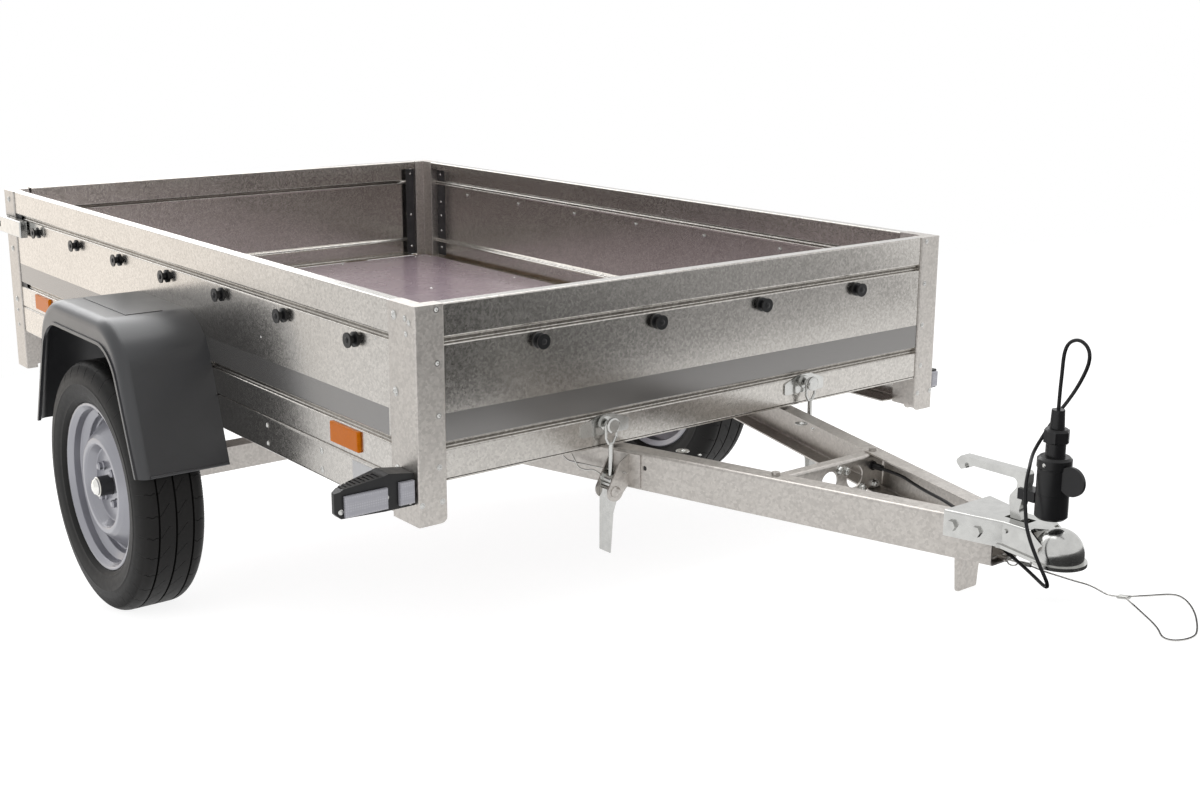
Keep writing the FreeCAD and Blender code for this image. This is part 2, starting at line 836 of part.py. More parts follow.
def swing_arm():
    """Forged arm from the axle tube down to the stub axle, at the left."""
    low = arm_inner
    high = arm_inner + arm_thickness
    length = math.hypot(axle_x, axle_z)
    tilt = math.atan2(axle_z, axle_x)
    spread = math.acos((arm_tube_radius - arm_hub_radius) / length)
    outline = []
    for side in (1, -1):
        angle = tilt + side * spread
        near = (axle_x + arm_tube_radius * math.cos(angle),
                axle_z + arm_tube_radius * math.sin(angle))
        far = (arm_hub_radius * math.cos(angle), arm_hub_radius * math.sin(angle))
        outline += [near, far] if side == 1 else [far, near]
    web = plate(outline, "y", low, high)
    return fuse([
        web,
        rod((axle_x, low, axle_z), (axle_x, high, axle_z), arm_tube_radius),
        rod((0, low, 0), (0, high, 0), arm_hub_radius),
        rod((0, high, 0), (0, wheel_plane + rim_offset + 14, 0), stub_radius),
    ])


arm = swing_arm()
nodes["swing_arms"] = both_sides([arm])

# Hubs, rims and tyres: outlines are (radius, distance out from the wheel plane)
hub_face = rim_offset
hub_inner = arm_inner + arm_thickness + 6.0 - wheel_plane
stub_end = rim_offset + 14.0
bore = stub_radius + hub_bore_clearance
hub_outline = [
    (bore, hub_inner),
    (hub_body_radius + 8, hub_inner),
    (hub_body_radius + 8, hub_inner + 14),
    (hub_body_radius, hub_inner + 22),
    (hub_body_radius, hub_face - 10),
    (hub_flange_radius, hub_face - 10),
    (hub_flange_radius, hub_face),
    (hub_tube_radius, hub_face),
    (hub_tube_radius, hub_face + 34),
    (hub_cap_radius, hub_face + 34),
    (hub_cap_radius, hub_face + 38),
    (hub_cap_radius - 3.5, hub_face + 42),
    (hub_cap_radius - 9.5, hub_face + 44.5),
    (0.0, hub_face + 45.5),
    (0.0, stub_end + 4),
    (bore, stub_end + 4),
]
wheel_at = (0.0, wheel_plane, 0.0)
hub = revolved(hub_outline, wheel_at, (0, 1, 0))
nodes["hub_left"] = hub
nodes["hub_right"] = mirrored(hub)

rim_edge = rim_half_width
well = bead_radius - 19.0
seat_face = hub_face + seat_gap
disc_hole = hub_tube_radius + seat_gap + 1
crown = crown_radius
rim_corners = [
    (bead_radius, rim_edge - 4, 3.0),
    (rim_flange_radius, rim_edge - 2, 3.0),
    (rim_flange_radius, rim_edge + 6.5, 3.0),
    (rim_flange_radius - 7, rim_edge + 6.5, 3.0),
    (bead_radius - rim_wall, rim_edge - 4, 4.0),
    (bead_radius - rim_wall, 36.0, 3.0),
    (well, 26.0, 4.0),
    (well - 2, 7.0, 4.0),
    (crown + 14, 50.0, 8.0),
    (crown + 5, crown_out, 6.0),
    (crown - 7, crown_out, 6.0),
    (crown - 18, seat_face + rim_wall, 8.0),
    (disc_hole, seat_face + rim_wall, 0.0),
    (disc_hole, seat_face, 0.0),
    (crown - 21, seat_face, 5.0),
    (crown - 9, crown_out - rim_wall, 4.0),
    (crown + 3, crown_out - rim_wall, 4.0),
    (crown + 11, 47.0, 5.0),
    (well - 5, 4.0, 1.0),
    (well - 5, -16.0, 0.0),
    (bead_radius - rim_wall, -30.0, 0.0),
    (bead_radius - rim_wall, -rim_edge, 0.0),
    (rim_flange_radius - 3, -rim_edge - 6, 0.0),
    (rim_flange_radius, -rim_edge - 4, 0.0),
    (rim_flange_radius - 5, -rim_edge + 1, 0.0),
    (bead_radius, -rim_edge + 4, 0.0),
    (bead_radius, -28.0, 0.0),
    (well, -13.0, 0.0),
    (well + 3, 22.0, 0.0),
    (bead_radius, 32.0, 0.0),
]
rim_points = [Vec(0, wheel_plane + d, r) for r, d, _ in rim_corners]
rim_wire = corner_wire(rim_points, [corner for _, _, corner in rim_corners])
rim = Part.Face(rim_wire).revolve(Vec(*wheel_at), Vec(0, 1, 0), 360)
vent = plate(
    [
        (vent_ring - vent_width / 2, -vent_length / 2), (vent_ring + vent_width / 2, -vent_length / 2),
        (vent_ring + vent_width / 2, vent_length / 2), (vent_ring - vent_width / 2, vent_length / 2),
    ],
    "y", wheel_plane - 5, wheel_plane + crown_out, vent_width / 2 - 0.2,
)
vents = []
for i in range(vent_count):
    opening = vent.copy()
    opening.rotate(Vec(0, 0, 0), Vec(0, 1, 0), 360.0 * i / vent_count)
    vents.append(opening)
rim = rim.cut(Part.makeCompound(vents))
bolt_seat = wheel_plane + hub_face + rim_wall + seat_gap
wheel_bolts = []
for i in range(wheel_bolt_count):
    angle = 2 * math.pi * (i + 0.5) / wheel_bolt_count
    x, z = wheel_bolt_circle * math.cos(angle), wheel_bolt_circle * math.sin(angle)
    wheel_bolts.append(revolved(
        [(0.0, -1.0), (wheel_bolt_radius + 2, -1.0), (wheel_bolt_radius + 2, 3.0), (wheel_bolt_radius, 5.0),
         (wheel_bolt_radius, 12.0), (wheel_bolt_radius - 3, 15.0), (0.0, 15.0)],
        (x, bolt_seat, z), (0, 1, 0),
    ))
rim = fuse([rim] + wheel_bolts)
nodes["rim_left"] = rim
nodes["rim_right"] = mirrored(rim)

half = tyre_width / 2
bead = bead_radius + seat_gap
side_height = tyre_radius - rim_flange_radius
tread_side = [(0.26, 2.0), (0.48, 0.0), (0.72, 3.0), (0.895, 11.0), (0.973, 20.0), (1.0, 30.0)]
outer_side = [(rim_flange_radius + f * side_height, half - inset) for f, inset in tread_side]
tyre_outline = [
    (bead, -rim_edge + 5.5),
    (bead, rim_edge - 8),
    (bead + 4, rim_edge - 4.3),
    (rim_flange_radius + seat_gap, rim_edge - 2.5),
    (rim_flange_radius + seat_gap, rim_edge + 5),
    (rim_flange_radius + 5, rim_edge + 10),
] + outer_side + [(r, -d) for r, d in outer_side[::-1]] + [
    (rim_flange_radius + 4, -rim_edge - 7),
    (rim_flange_radius - 4, -rim_edge + 1.5),
]
tyre = revolved(tyre_outline, wheel_at, (0, 1, 0))
nodes["tyre_left"] = tyre
nodes["tyre_right"] = mirrored(tyre)

# Mudguards


def guard_outline(inset_top, inset_side, radius):
    top_half = guard_top_half - inset_side
    low_half = guard_low_half - inset_side
    return [
        (guard_centre - low_half, guard_low),
        (guard_centre - top_half, guard_top - inset_top),
        (guard_centre + top_half, guard_top - inset_top),
        (guard_centre + low_half, guard_low),
    ], [0.0, radius, radius, 0.0]


outer_points, outer_radii = guard_outline(0.0, 0.0, guard_bend)
inner_points, inner_radii = guard_outline(guard_wall, guard_wall * 1.03, guard_bend - guard_wall)
lip_points, lip_radii = guard_outline(lip_depth, lip_foot, lip_bend)


def lowered(points):
    """The same outline with its open ends carried below the guard."""
    out = list(points)
    for i, j in ((0, 1), (3, 2)):
        slope = (out[i][0] - out[j][0]) / (out[i][1] - out[j][1])
        out[i] = (out[i][0] - 5 * slope, out[i][1] - 5)
    return out


def rounded_outside(solid, outer, radius):
    """Round the long edge where the guard's top turns down into its outer face."""
    long_edges = [e for e in solid.Edges
                  if e.BoundBox.YMin > outer - 0.01 and e.BoundBox.ZMax > guard_low + 1]
    return solid.makeFillet(radius, long_edges)


guard_body = rounded_outside(plate(outer_points, "y", wall_face, guard_outer, outer_radii),
                             guard_outer, guard_edge)
guard_hollow = rounded_outside(
    plate(lowered(inner_points), "y", wall_face - 1, guard_outer - guard_wall, inner_radii),
    guard_outer - guard_wall, guard_edge - guard_wall)
guard_mouth = plate(lowered(lip_points), "y", guard_outer - 2 * guard_edge, guard_outer + 10, lip_radii)
bead_points, bead_radii = guard_outline(lip_depth - bead_width, lip_foot - bead_width,
                                        lip_bend + bead_width)
guard_bead = plate(bead_points, "y", guard_outer - guard_wall, guard_outer + bead_height, bead_radii)
pad_rise = 1.2
pad_points, pad_radii = guard_outline(-pad_rise, -pad_rise, guard_bend + pad_rise)
pad_sheet = plate(pad_points, "y", guard_outer - 150, guard_outer - 66, pad_radii)
pad_length = block(guard_centre - 122, guard_centre + 128, wall_face, guard_outer,
                   guard_top - 40, guard_top + 10)
guard_pad = pad_sheet.common(pad_length).cut(guard_hollow)
hem_radius = 3.0
hems = []
for x in (guard_centre - guard_low_half, guard_centre + guard_low_half):
    hems.append(rod((x, wall_face + hem_radius, guard_low + hem_radius),
                    (x, guard_outer - guard_edge, guard_low + hem_radius), hem_radius))
guard = fuse([guard_body.cut(guard_hollow), guard_bead, guard_pad] + hems).cut(guard_mouth)
nodes["mudguard_left"] = guard
nodes["mudguard_right"] = mirrored(guard)

# Rope hooks, side reflectors and lamps
hook_first = bed_front - 215.0
hook_last = bed_rear + 253.0
hook_gap = (hook_first - hook_last) / 6
hook_z = wall_high - 93.0
spool_radius = 14.5
spool_neck = 8.0
spool_height = 17.0
spool_flange = 3.0
spool_slope = 2.5


def rope_hook(base, direction):
    outline = [
        (0.0, 0.0), (spool_radius, 0.0), (spool_radius, spool_flange),
        (spool_neck, spool_flange + spool_slope), (spool_neck, spool_height - spool_flange - spool_slope),
        (spool_radius, spool_height - spool_flange), (spool_radius, spool_height), (0.0, spool_height),
    ]
    return revolved(outline, base, direction)


side_hooks = [rope_hook((hook_first - hook_gap * i, wall_face, hook_z), (0, 1, 0)) for i in range(7)]
front_hooks = []
front_hook_pitch = (bed_width - 530.0) / 3
for i in range(4):
    front_hooks.append(rope_hook((front_face, front_hook_pitch * (i - 1.5), hook_z), (1, 0, 0)))
nodes["rope_hooks"] = Part.makeCompound([both_sides(side_hooks)] + front_hooks)

reflector_z = wall_low + 32.0
reflector_length = 105.0
reflector_height = 40.0
reflector_depth = 7.0
reflectors = []
for x in (bed_front - 258.0, bed_rear + 254.0):
    lens = block(x - reflector_length / 2, x + reflector_length / 2, wall_face, wall_face + reflector_depth,
                 reflector_z - reflector_height / 2, reflector_z + reflector_height / 2)
    front_edges = [e for e in lens.Edges if e.BoundBox.YMin > wall_face + reflector_depth - 0.01]
    reflectors.append(lens.makeFillet(2.5, front_edges))
nodes["side_reflectors"] = both_sides(reflectors)

# Front marker lamps on short arms beside the front posts
lamp_front = bed_front - 12.0
lamp_depth = 46.0
lamp_outer = bed_half + 156.0
lamp_waist = lamp_outer - 94.0
lamp_low = wall_low - 38.0
lamp_high = wall_low + 18.0
lamp_arm_high = wall_low + 29.0
marker_front = plate(
    [
        (bed_half, lamp_low),
        (lamp_waist, lamp_low),
        (lamp_outer - 8, lamp_low + 4),
        (lamp_outer, lamp_low + 12),
        (lamp_outer, lamp_high - 8),
        (lamp_outer - 14, lamp_high),
        (lamp_waist, lamp_high + 8),
        (lamp_waist - 10, lamp_arm_high),
        (bed_half, lamp_arm_high - 8),
    ],
    "x", lamp_front - lamp_depth, lamp_front, 2.0,
)
marker_plan = plate(
    [
        (lamp_front - lamp_depth, bed_half - 1),
        (lamp_front, bed_half - 1),
        (lamp_front, lamp_outer - 8),
        (lamp_front - 8, lamp_outer),
        (lamp_front - lamp_depth * 0.4, lamp_outer),
        (lamp_front - lamp_depth, lamp_waist),
    ],
    "z", lamp_low - 1, lamp_arm_high + 1, 3.0,
)
ribs = []
for i in range(9):
    y = lamp_waist + 6 + 9 * i
    ribs.append(block(lamp_front - 30, lamp_front - 6, y, y + 4, lamp_high - 30, lamp_high + 30))
marker_top_cut = marker_front.common(marker_plan)
rib_floor = marker_top_cut.translated(Vec(0, 0, -1.5))
marker_body = marker_top_cut.cut(Part.makeCompound(ribs).cut(rib_floor))

# The left side carries only a short lamp, almost hidden behind its post.
short_width = 29.0
short_height = 43.0
short_lamp = block(lamp_front - lamp_depth, lamp_front, bed_half, bed_half + short_width, lamp_low,
                   lamp_low + short_height)
nodes["marker_lamps"] = Part.makeCompound([mirrored(marker_body), short_lamp])


def lamp_lens(low_y, high_y, low_z, high_z):
    """A clear lens that stands out of the lamp's front face with rounded edges."""
    lens = block(lamp_front + 0.1, lamp_front + 9, low_y, high_y, low_z, high_z)
    edges = [e for e in lens.Edges if e.BoundBox.XMin > lamp_front + 8.9]
    return lens.makeFillet(4.0, edges)


marker_lenses = [
    lamp_lens(lamp_waist - 4, lamp_outer - 14, lamp_low + 6, lamp_high - 12),
    lamp_lens(bed_half + 4, bed_half + 34, lamp_low + 6, lamp_high - 8),
]
short_lens = lamp_lens(bed_half + 4, bed_half + short_width - 3, lamp_low + 4, lamp_low + short_height - 4)
nodes["marker_lenses"] = Part.makeCompound([mirrored(lens) for lens in marker_lenses] + [short_lens])

# Tail lamps hang from boards under the sill
tail_x = bed_rear + 30.0
tail_low = wall_low - 161.0
tail_high = wall_low - 81.0
tail_inner = bed_half - 280.0
tail_outer = wall_end - 6.0
tail_depth = 26.0
tail_body = block(tail_x - tail_depth, tail_x, tail_inner, tail_outer, tail_low, tail_high)
tail_edges = [e for e in tail_body.Edges if e.BoundBox.XMax < tail_x - tail_depth + 0.01]
tail_body = tail_body.makeFillet(5.0, tail_edges)
lens_x = tail_x - tail_depth
amber_inner = tail_outer - 60.0
lens_pocket = block(lens_x - 1, lens_x + 4, tail_inner + 8, tail_outer - 8, tail_low + 8, tail_high - 8)
tail_body = tail_body.cut(lens_pocket)
lens_gap = 0.2
lens_rim = 8.0 + lens_gap
red_lens = block(lens_x - 2, lens_x + 3.9, tail_inner + lens_rim, amber_inner - lens_gap,
                 tail_low + lens_rim, tail_high - lens_rim)
amber_lens = block(lens_x - 2, lens_x + 3.9, amber_inner + lens_gap, tail_outer - lens_rim,
                   tail_low + lens_rim, tail_high - lens_rim)
board = block(tail_x, tail_x + rail_wall, tail_inner - 15, wall_end, tail_low - 8, rail_low)
nodes["lamp_boards"] = both_sides([board])
nodes["tail_lamps"] = both_sides([tail_body])
nodes["tail_lenses"] = both_sides([red_lens])
nodes["turn_lenses"] = both_sides([amber_lens])

# Tailgate
gate_half = wall_end - gate_gap
gate_face = bed_rear + skin_inset
gate_path = [
    (bed_rear + wall_depth, gate_hinge_z + hinge_radius + 4),
    (gate_face, gate_hinge_z + hinge_radius + 4),
]
for height in groove_heights:
    z = wall_low + height
    gate_path += [
        (gate_face, z - groove_width / 2 - groove_slope),
        (gate_face + groove_depth, z - groove_width / 2),
        (gate_face + groove_depth, z + groove_width / 2),
        (gate_face, z + groove_width / 2 + groove_slope),
    ]
gate_path += [
    (gate_face, wall_high),
    (bed_rear + wall_depth, wall_high),
    (bed_rear + wall_depth, wall_high - top_return),
]
gate = folded(gate_path, skin, "y", -gate_half, gate_half, skin_bend)
sill_face = bed_rear + 4.0
gate_parts = [gate]
sill_hinges = []
for y in (-gate_half * 0.67, 0.0, gate_half * 0.67):
    knuckle = rod((gate_hinge_x, y - hinge_half, gate_hinge_z),
                  (gate_hinge_x, y + hinge_half, gate_hinge_z), hinge_radius)
    leaf = block(gate_hinge_x - 3, gate_face, y - hinge_half, y + hinge_half,
                 gate_hinge_z, gate_hinge_z + 40)
    leaf = leaf.cut(block(gate_hinge_x - 4, gate_face - 4, y - 50, y + 50,
                          gate_hinge_z + hinge_radius, gate_hinge_z + 50))
    bore = rod((gate_hinge_x, y - 50, gate_hinge_z), (gate_hinge_x, y + 50, gate_hinge_z),
               hinge_pin + pin_clearance)
    gate_parts.append(fuse([knuckle, leaf]).cut(bore))
    ears = []
    for side in (-1, 1):
        inner = y + side * (hinge_half + 1.0)
        outer = y + side * (hinge_half + 9.0)
        low, high = min(inner, outer), max(inner, outer)
        ears.append(rod((gate_hinge_x, low, gate_hinge_z), (gate_hinge_x, high, gate_hinge_z),
                        hinge_radius))
        ears.append(block(gate_hinge_x, sill_face, low, high,
                          gate_hinge_z - hinge_radius, gate_hinge_z - 2))
    hinge = rod((gate_hinge_x, y - hinge_half - 9, gate_hinge_z),
                (gate_hinge_x, y + hinge_half + 9, gate_hinge_z), hinge_pin)
    sill_leaf = block(sill_face - 4, sill_face, y - hinge_half - 9, y + hinge_half + 9,
                      rail_low + 10, gate_hinge_z - hinge_radius - 3)
    bridge = [block(sill_face - 4, sill_face, low_y, low_y + 8, gate_hinge_z - 30, gate_hinge_z - 2)
              for low_y in (y - hinge_half - 9, y + hinge_half + 1)]
    sill_hinges.append(fuse(ears + [hinge, sill_leaf] + bridge))
nodes["tailgate"] = fuse(gate_parts)
nodes["tailgate_hinges"] = Part.makeCompound(sill_hinges)

# Tipping latches: a ring hung on a wall stud, its shank pulled down by an over-centre
# lever that turns in a bracket on the drawbar and is locked by a spring clip
stud_reach = latch_x + ring_wire + 1.0 - front_face - 3.0
stud_outline = [
    (0.0, 0.0), (14.0, 0.0), (14.0, 4.0), (stud_radius, 6.0), (stud_radius, stud_reach),
    (stud_flange, stud_reach), (stud_flange, stud_reach + 4), (stud_flange - 3, stud_reach + 6),
    (0.0, stud_reach + 6),
]
stud_base = plate(
    [(latch_y - 58, stud_z - 22), (latch_y + 58, stud_z - 22), (latch_y + 58, stud_z + 2),
     (latch_y + 18, stud_z + 17), (latch_y - 18, stud_z + 17), (latch_y - 58, stud_z + 2)],
    "x", front_face, front_face + 3.0, 5.0,
)
stud = fuse([stud_base, revolved(stud_outline, (front_face + 3.0, latch_y, stud_z), (1, 0, 0))])
nodes["latch_studs"] = both_sides([stud])

ring_reach = stud_radius + 3.0 + ring_wire
ring_top = stud_z + stud_radius + 0.4 + ring_wire
ring_low = stud_z - 37.0
ring_corners = [
    Vec(latch_x, latch_y - 5, ring_top), Vec(latch_x, latch_y - ring_reach, stud_z),
    Vec(latch_x, latch_y - ring_reach, ring_low + 13), Vec(latch_x, latch_y - 5, ring_low),
    Vec(latch_x, latch_y + 5, ring_low), Vec(latch_x, latch_y + ring_reach, ring_low + 13),
    Vec(latch_x, latch_y + ring_reach, stud_z), Vec(latch_x, latch_y + 5, ring_top),
]
ring = swept(corner_wire(ring_corners, [4.0] * 8), ring_wire)
shank = rod((latch_x, latch_y, shank_low), (latch_x, latch_y, ring_low), shank_radius)
nodes["latch_rings"] = both_sides([fuse([ring, shank])])

lever_pin_y = latch_y + lever_pin_offset
lever_out = latch_y + lever_face
lever_side = plate(
    [
        (lever_out, lever_low), (lever_out, lever_pin_z + 6), (latch_y + 13, lever_pin_z + 14),
        (latch_y + 13, trunnion_z + 7), (latch_y + 7, trunnion_z + 13), (latch_y - 7, trunnion_z + 13),
        (latch_y - 13, trunnion_z + 7), (lever_out - 31, lever_pin_z - 3), (lever_out - 16, lever_pin_z - 22),
        (lever_out - lever_depth, lever_pin_z - 42), (lever_out - 3, lever_low),
    ],
    "x", latch_x - lever_half, latch_x + lever_half,
    [1.0, 4.0, 4.0, 5.0, 5.0, 5.0, 5.0, 5.0, 10.0, 12.0, 1.0],
)
channel_half = lever_half - lever_wall
channel = block(latch_x - channel_half, latch_x + channel_half, lever_out - 50, lever_out - lever_wall,
                lever_low - 1, trunnion_z + 20)
above_web = block(latch_x - channel_half, latch_x + channel_half, lever_out - 50, lever_out + 1,
                  lever_pin_z + 4, trunnion_z + 20)
trunnion = rod((latch_x - lever_half, latch_y, trunnion_z), (latch_x + lever_half, latch_y, trunnion_z),
               trunnion_radius)
eye = rod((latch_x, latch_y, trunnion_z - 20), (latch_x, latch_y, trunnion_z + 20), shank_radius + 1.5)
lever_bore = rod((latch_x - lever_half - 1, lever_pin_y, lever_pin_z),
                 (latch_x + lever_half + 1, lever_pin_y, lever_pin_z), lever_pin_radius + pin_clearance)
lever = fuse([lever_side.cut(channel).cut(above_web), trunnion]).cut(eye).cut(lever_bore)
nodes["latch_levers"] = both_sides([lever])

cheek_inner = lever_half + cheek_gap
cheek_outer = cheek_inner + cheek_wall
bracket_base = beam_slab(latch_x - 26, latch_x + 43, -cheek_wall, 0.0, wall_low - 79, wall_low - 13)
cheeks = []
for low, high in ((latch_x - cheek_outer, latch_x - cheek_inner),
                  (latch_x + cheek_inner, latch_x + cheek_outer)):
    inner = beam_y(low) + 0.5
    cheek = plate(
        [
            (inner, wall_low - 72), (inner, wall_low - 13), (latch_y - 6, wall_low - 27),
            (lever_pin_y + 16, lever_pin_z + 10), (lever_pin_y - 18, lever_pin_z - 6),
        ],
        "x", low, high,
    )
    boss = rod((low, lever_pin_y, lever_pin_z), (high, lever_pin_y, lever_pin_z), lever_boss)
    cheeks.append(cheek.fuse(boss.cut(block(low - 1, high + 1, inner - 40, inner, 0, wall_low))))
pin_start = latch_x - cheek_outer - 4
pin_end = latch_x + cheek_outer
lever_pin = rod((pin_start, lever_pin_y, lever_pin_z), (pin_end, lever_pin_y, lever_pin_z),
                lever_pin_radius)
pin_head = revolved(
    [(0.0, -1.0), (11.0, -1.0), (11.0, 1.5), (7.0, 5.0), (0.0, 6.0)],
    (pin_end, lever_pin_y, lever_pin_z), (1, 0, 0),
)

clip_offset = 18.0
clip_z = wall_low - 48.0


def clip_path(start_x, direction):
    """Locking clip beside the shank: a straight leg, an eye and a wavy spring leg."""
    spread = math.hypot(1, beam_slope)
    points = []
    for along, side, rise in (
        (0, 0, 0), (118, 0, 0), (140, 0.6, 1), (153, 1.4, 11), (144, 2.4, 22), (129, 3.2, 20),
        (119, 4.0, 6), (110, 4.2, -8), (92, 4.2, -10), (74, 4.2, -5), (58, 4.2, -11),
    ):
        x = start_x + direction * along / spread
        points.append((x, beam_y(x) + clip_offset + side * spread, clip_z + rise))
    return route(points)


clip_left = swept(clip_path(latch_x - cheek_outer - 8, 1), clip_radius)
clip_right = mirrored(swept(clip_path(latch_x + cheek_outer + 8, -1), clip_radius))
nodes["latch_clips"] = Part.makeCompound([clip_left, clip_right])
clip_start = latch_x - cheek_outer - 5
clip_stop = latch_x + cheek_outer + 5
clip_bore = rod((clip_start, beam_y(clip_start) + clip_offset, clip_z),
                (clip_stop, beam_y(clip_stop) + clip_offset, clip_z), clip_radius + 0.4)
latch_bracket = fuse([bracket_base] + cheeks + [lever_pin, pin_head]).cut(clip_bore)
nodes["latch_brackets"] = both_sides([latch_bracket])

# Toggle latches that hold the tailgate shut, one over each rear post
catch_z = wall_low + 227.0
catch_half = 22.5
catch_rear = bed_rear - 6.0
catch_front = bed_rear + 180.0
catch_depth = 20.0
catch_wall = 2.0
catch_base = block(bed_rear + 20, side_start - 2, bed_half, bed_half + catch_wall,
                   catch_z - 20, catch_z + 20)
catch_tail = block(side_start + 2, hook_last + 40, wall_face, wall_face + catch_wall,
                   catch_z - 6, catch_z + 21)
last_hook_room = rod((hook_last, wall_face - 1, hook_z), (hook_last, wall_face + 9, hook_z),
                     spool_radius + 0.2)
catch_tail = catch_tail.cut(last_hook_room)
catch_outer = block(catch_rear, catch_front, bed_half + 3, bed_half + 3 + catch_depth,
                    catch_z - catch_half, catch_z + catch_half)
catch_edges = [e for e in catch_outer.Edges if e.BoundBox.YMin > bed_half + 2 + catch_depth]
catch_outer = catch_outer.makeFillet(4.0, catch_edges)
catch_hollow = block(catch_rear + catch_wall, catch_front - catch_wall,
                     bed_half, bed_half + 3 + catch_depth - catch_wall,
                     catch_z - catch_half + catch_wall, catch_z + catch_half - catch_wall)
catch_slot = block(catch_rear + 20, catch_rear + 28, bed_half + 10, bed_half + 30, catch_z - 8, catch_z + 8)
catch_pin_x = catch_rear + 60.0
catch_pin = rod((catch_pin_x, bed_half + 10, catch_z - catch_half - 3),
                (catch_pin_x, bed_half + 10, catch_z + catch_half + 3), 3.0)
catch_lug = block(catch_pin_x - 6, catch_pin_x + 6, bed_half + 1, bed_half + 15, catch_z - 14, catch_z + 14)
catch_strut = block(side_start + 2, side_start + 60, wall_face + 1, bed_half + 5, catch_z - 5, catch_z + 5)
catch_bar = block(side_start + 50, side_start + 60, wall_face + 1, bed_half + 3 + catch_depth - 1,
                  catch_z - 5, catch_z + 5)
catch = fuse([catch_base, catch_tail, catch_outer.cut(catch_hollow).cut(catch_slot), catch_pin, catch_lug,
              catch_strut, catch_bar])
nodes["gate_latches"] = both_sides([catch])

# Plug parked in a holder on the coupling handle
plug_x, plug_low = from_nose(84.5, 17)
plug_top = plug_low + 181.0
plug_outline = [
    (0.0, 14.0), (24.0, 14.0), (24.0, 42.0), (26.5, 42.0), (26.5, 84.0), (28.0, 86.0), (28.0, 100.0),
    (24.0, 104.0), (16.0, 104.0), (16.0, 126.0), (20.0, 128.0), (20.0, 146.0), (17.0, 150.0),
    (12.0, 150.0), (10.5, 181.0), (0.0, 181.0),
]
plug_body = revolved(plug_outline, (plug_x, 0, plug_low), (0, 0, 1))
lid_z = plug_low + 72.0
plug_lid = fuse([
    rod((plug_x + 40, -12, lid_z), (plug_x + 40, -6, lid_z), 24.0),
    block(plug_x + 20, plug_x + 40, -12, -6, lid_z - 8, lid_z + 8),
])
nodes["plug"] = fuse([plug_body, plug_lid])
cup_radius = 26.5
cup_bore = 24.3
holder_cup = revolved(
    [(0.0, 0.0), (cup_radius - 4, 0.0), (cup_radius, 4.0), (cup_radius, 41.7), (cup_bore, 41.7),
     (cup_bore, 13.7), (0.0, 13.7)],
    (plug_x, 0, plug_low), (0, 0, 1),
)
clip_back, holder_z = from_nose(28, 38)
holder_arm = block(clip_back, plug_x - cup_bore, -handle_half - 4, handle_half + 4, holder_z, holder_z + 18)
holder = fuse([holder_cup, holder_arm]).cut(handle)
cup_hollow = rod((plug_x, 0, plug_low + 13.7), (plug_x, 0, plug_low + 60), cup_bore)
nodes["plug_holder"] = holder.cut(cup_hollow)

# Cords. Each route is a short list of chosen points measured from the beams' nose and
# the coupling's top; the cord runs straight between arcs set in its corners.


def by_nose(points):
    return [(beam_nose + ahead, y, coupling_top + rise) for ahead, y, rise in points]


cable_radius = 3.0
grommet_y = beam_y(tie_front) - beam_wall - bend - 28.0
grommet_z = beam_high - 25.0
cable_route = [(tie_front + 24, grommet_y, grommet_z), (tie_front + 70, grommet_y, grommet_z)] + by_nose([
    (-268, 84, -31), (-212, 54, -26), (-152, 31, -23), (-92, 14, -31), (-37, 4, -49), (10, -4, -64),
    (58, -16, -76), (133, -50, -88), (100, -58, -29), (80, -56, 8), (72, -50, 30), (60, -38, 54),
    (52, -26, 77), (45, -10, 95), (34, 8, 101), (26, 26, 112), (34, 44, 144), (56, 43, 180), (86, 30, 215),
    (114, 12, 249), (133, 2, 283), (132, 0, 305), (115, 0, 317), (96, 0, 311), (87, 0, 293), (86, 0, 257),
]) + [(plug_x, 0.0, plug_top + 27), (plug_x, 0.0, plug_top)]
cable_path = route(cable_route)
nodes["electric_cable"] = swept(cable_path, cable_radius)
print("cable", round(cable_path.Length, 1), "tightest bend", round(tightest_bend(cable_path), 1))
nodes["cable_grommet"] = fuse([
    rod((tie_front, grommet_y, grommet_z), (tie_front + 24, grommet_y, grommet_z), 6.0),
    rod((tie_front, grommet_y, grommet_z), (tie_front + 3, grommet_y, grommet_z), 9.0),
])

wire_radius = 1.5
anchor_z = coupling_top - 77.0
anchor_end = beam_nose + 6.0


def on_ground(ahead, y, lift=0.4):
    x = beam_nose + ahead
    return (x, y, ground_under(x) + (wire_radius + lift) / math.cos(pitch))


anchor = fuse([
    rod((beam_nose - 12, -34, anchor_z), (beam_nose - 12, 34, anchor_z), 4.0),
    rod((beam_nose - 12, 0, anchor_z), (anchor_end, 0, anchor_z), 5.0),
]).cut(beam).cut(mirrored(beam))
nodes["breakaway_anchor"] = anchor
wire_route = [(anchor_end + 0.1, 0.0, anchor_z), (anchor_end + 12, 0.0, anchor_z)] + by_nose([
    (38, 9, -78), (60, 24, -87), (94, 33, -90), (118, 34, -90), (146, 34, -88),
]) + [on_ground(178, 34, 1.6), on_ground(196, 34, 1.6)]
wire_path = route(wire_route)
nodes["breakaway_wire"] = swept(wire_path, wire_radius)
print("wire", round(wire_path.Length, 1), "tightest bend", round(tightest_bend(wire_path), 1))

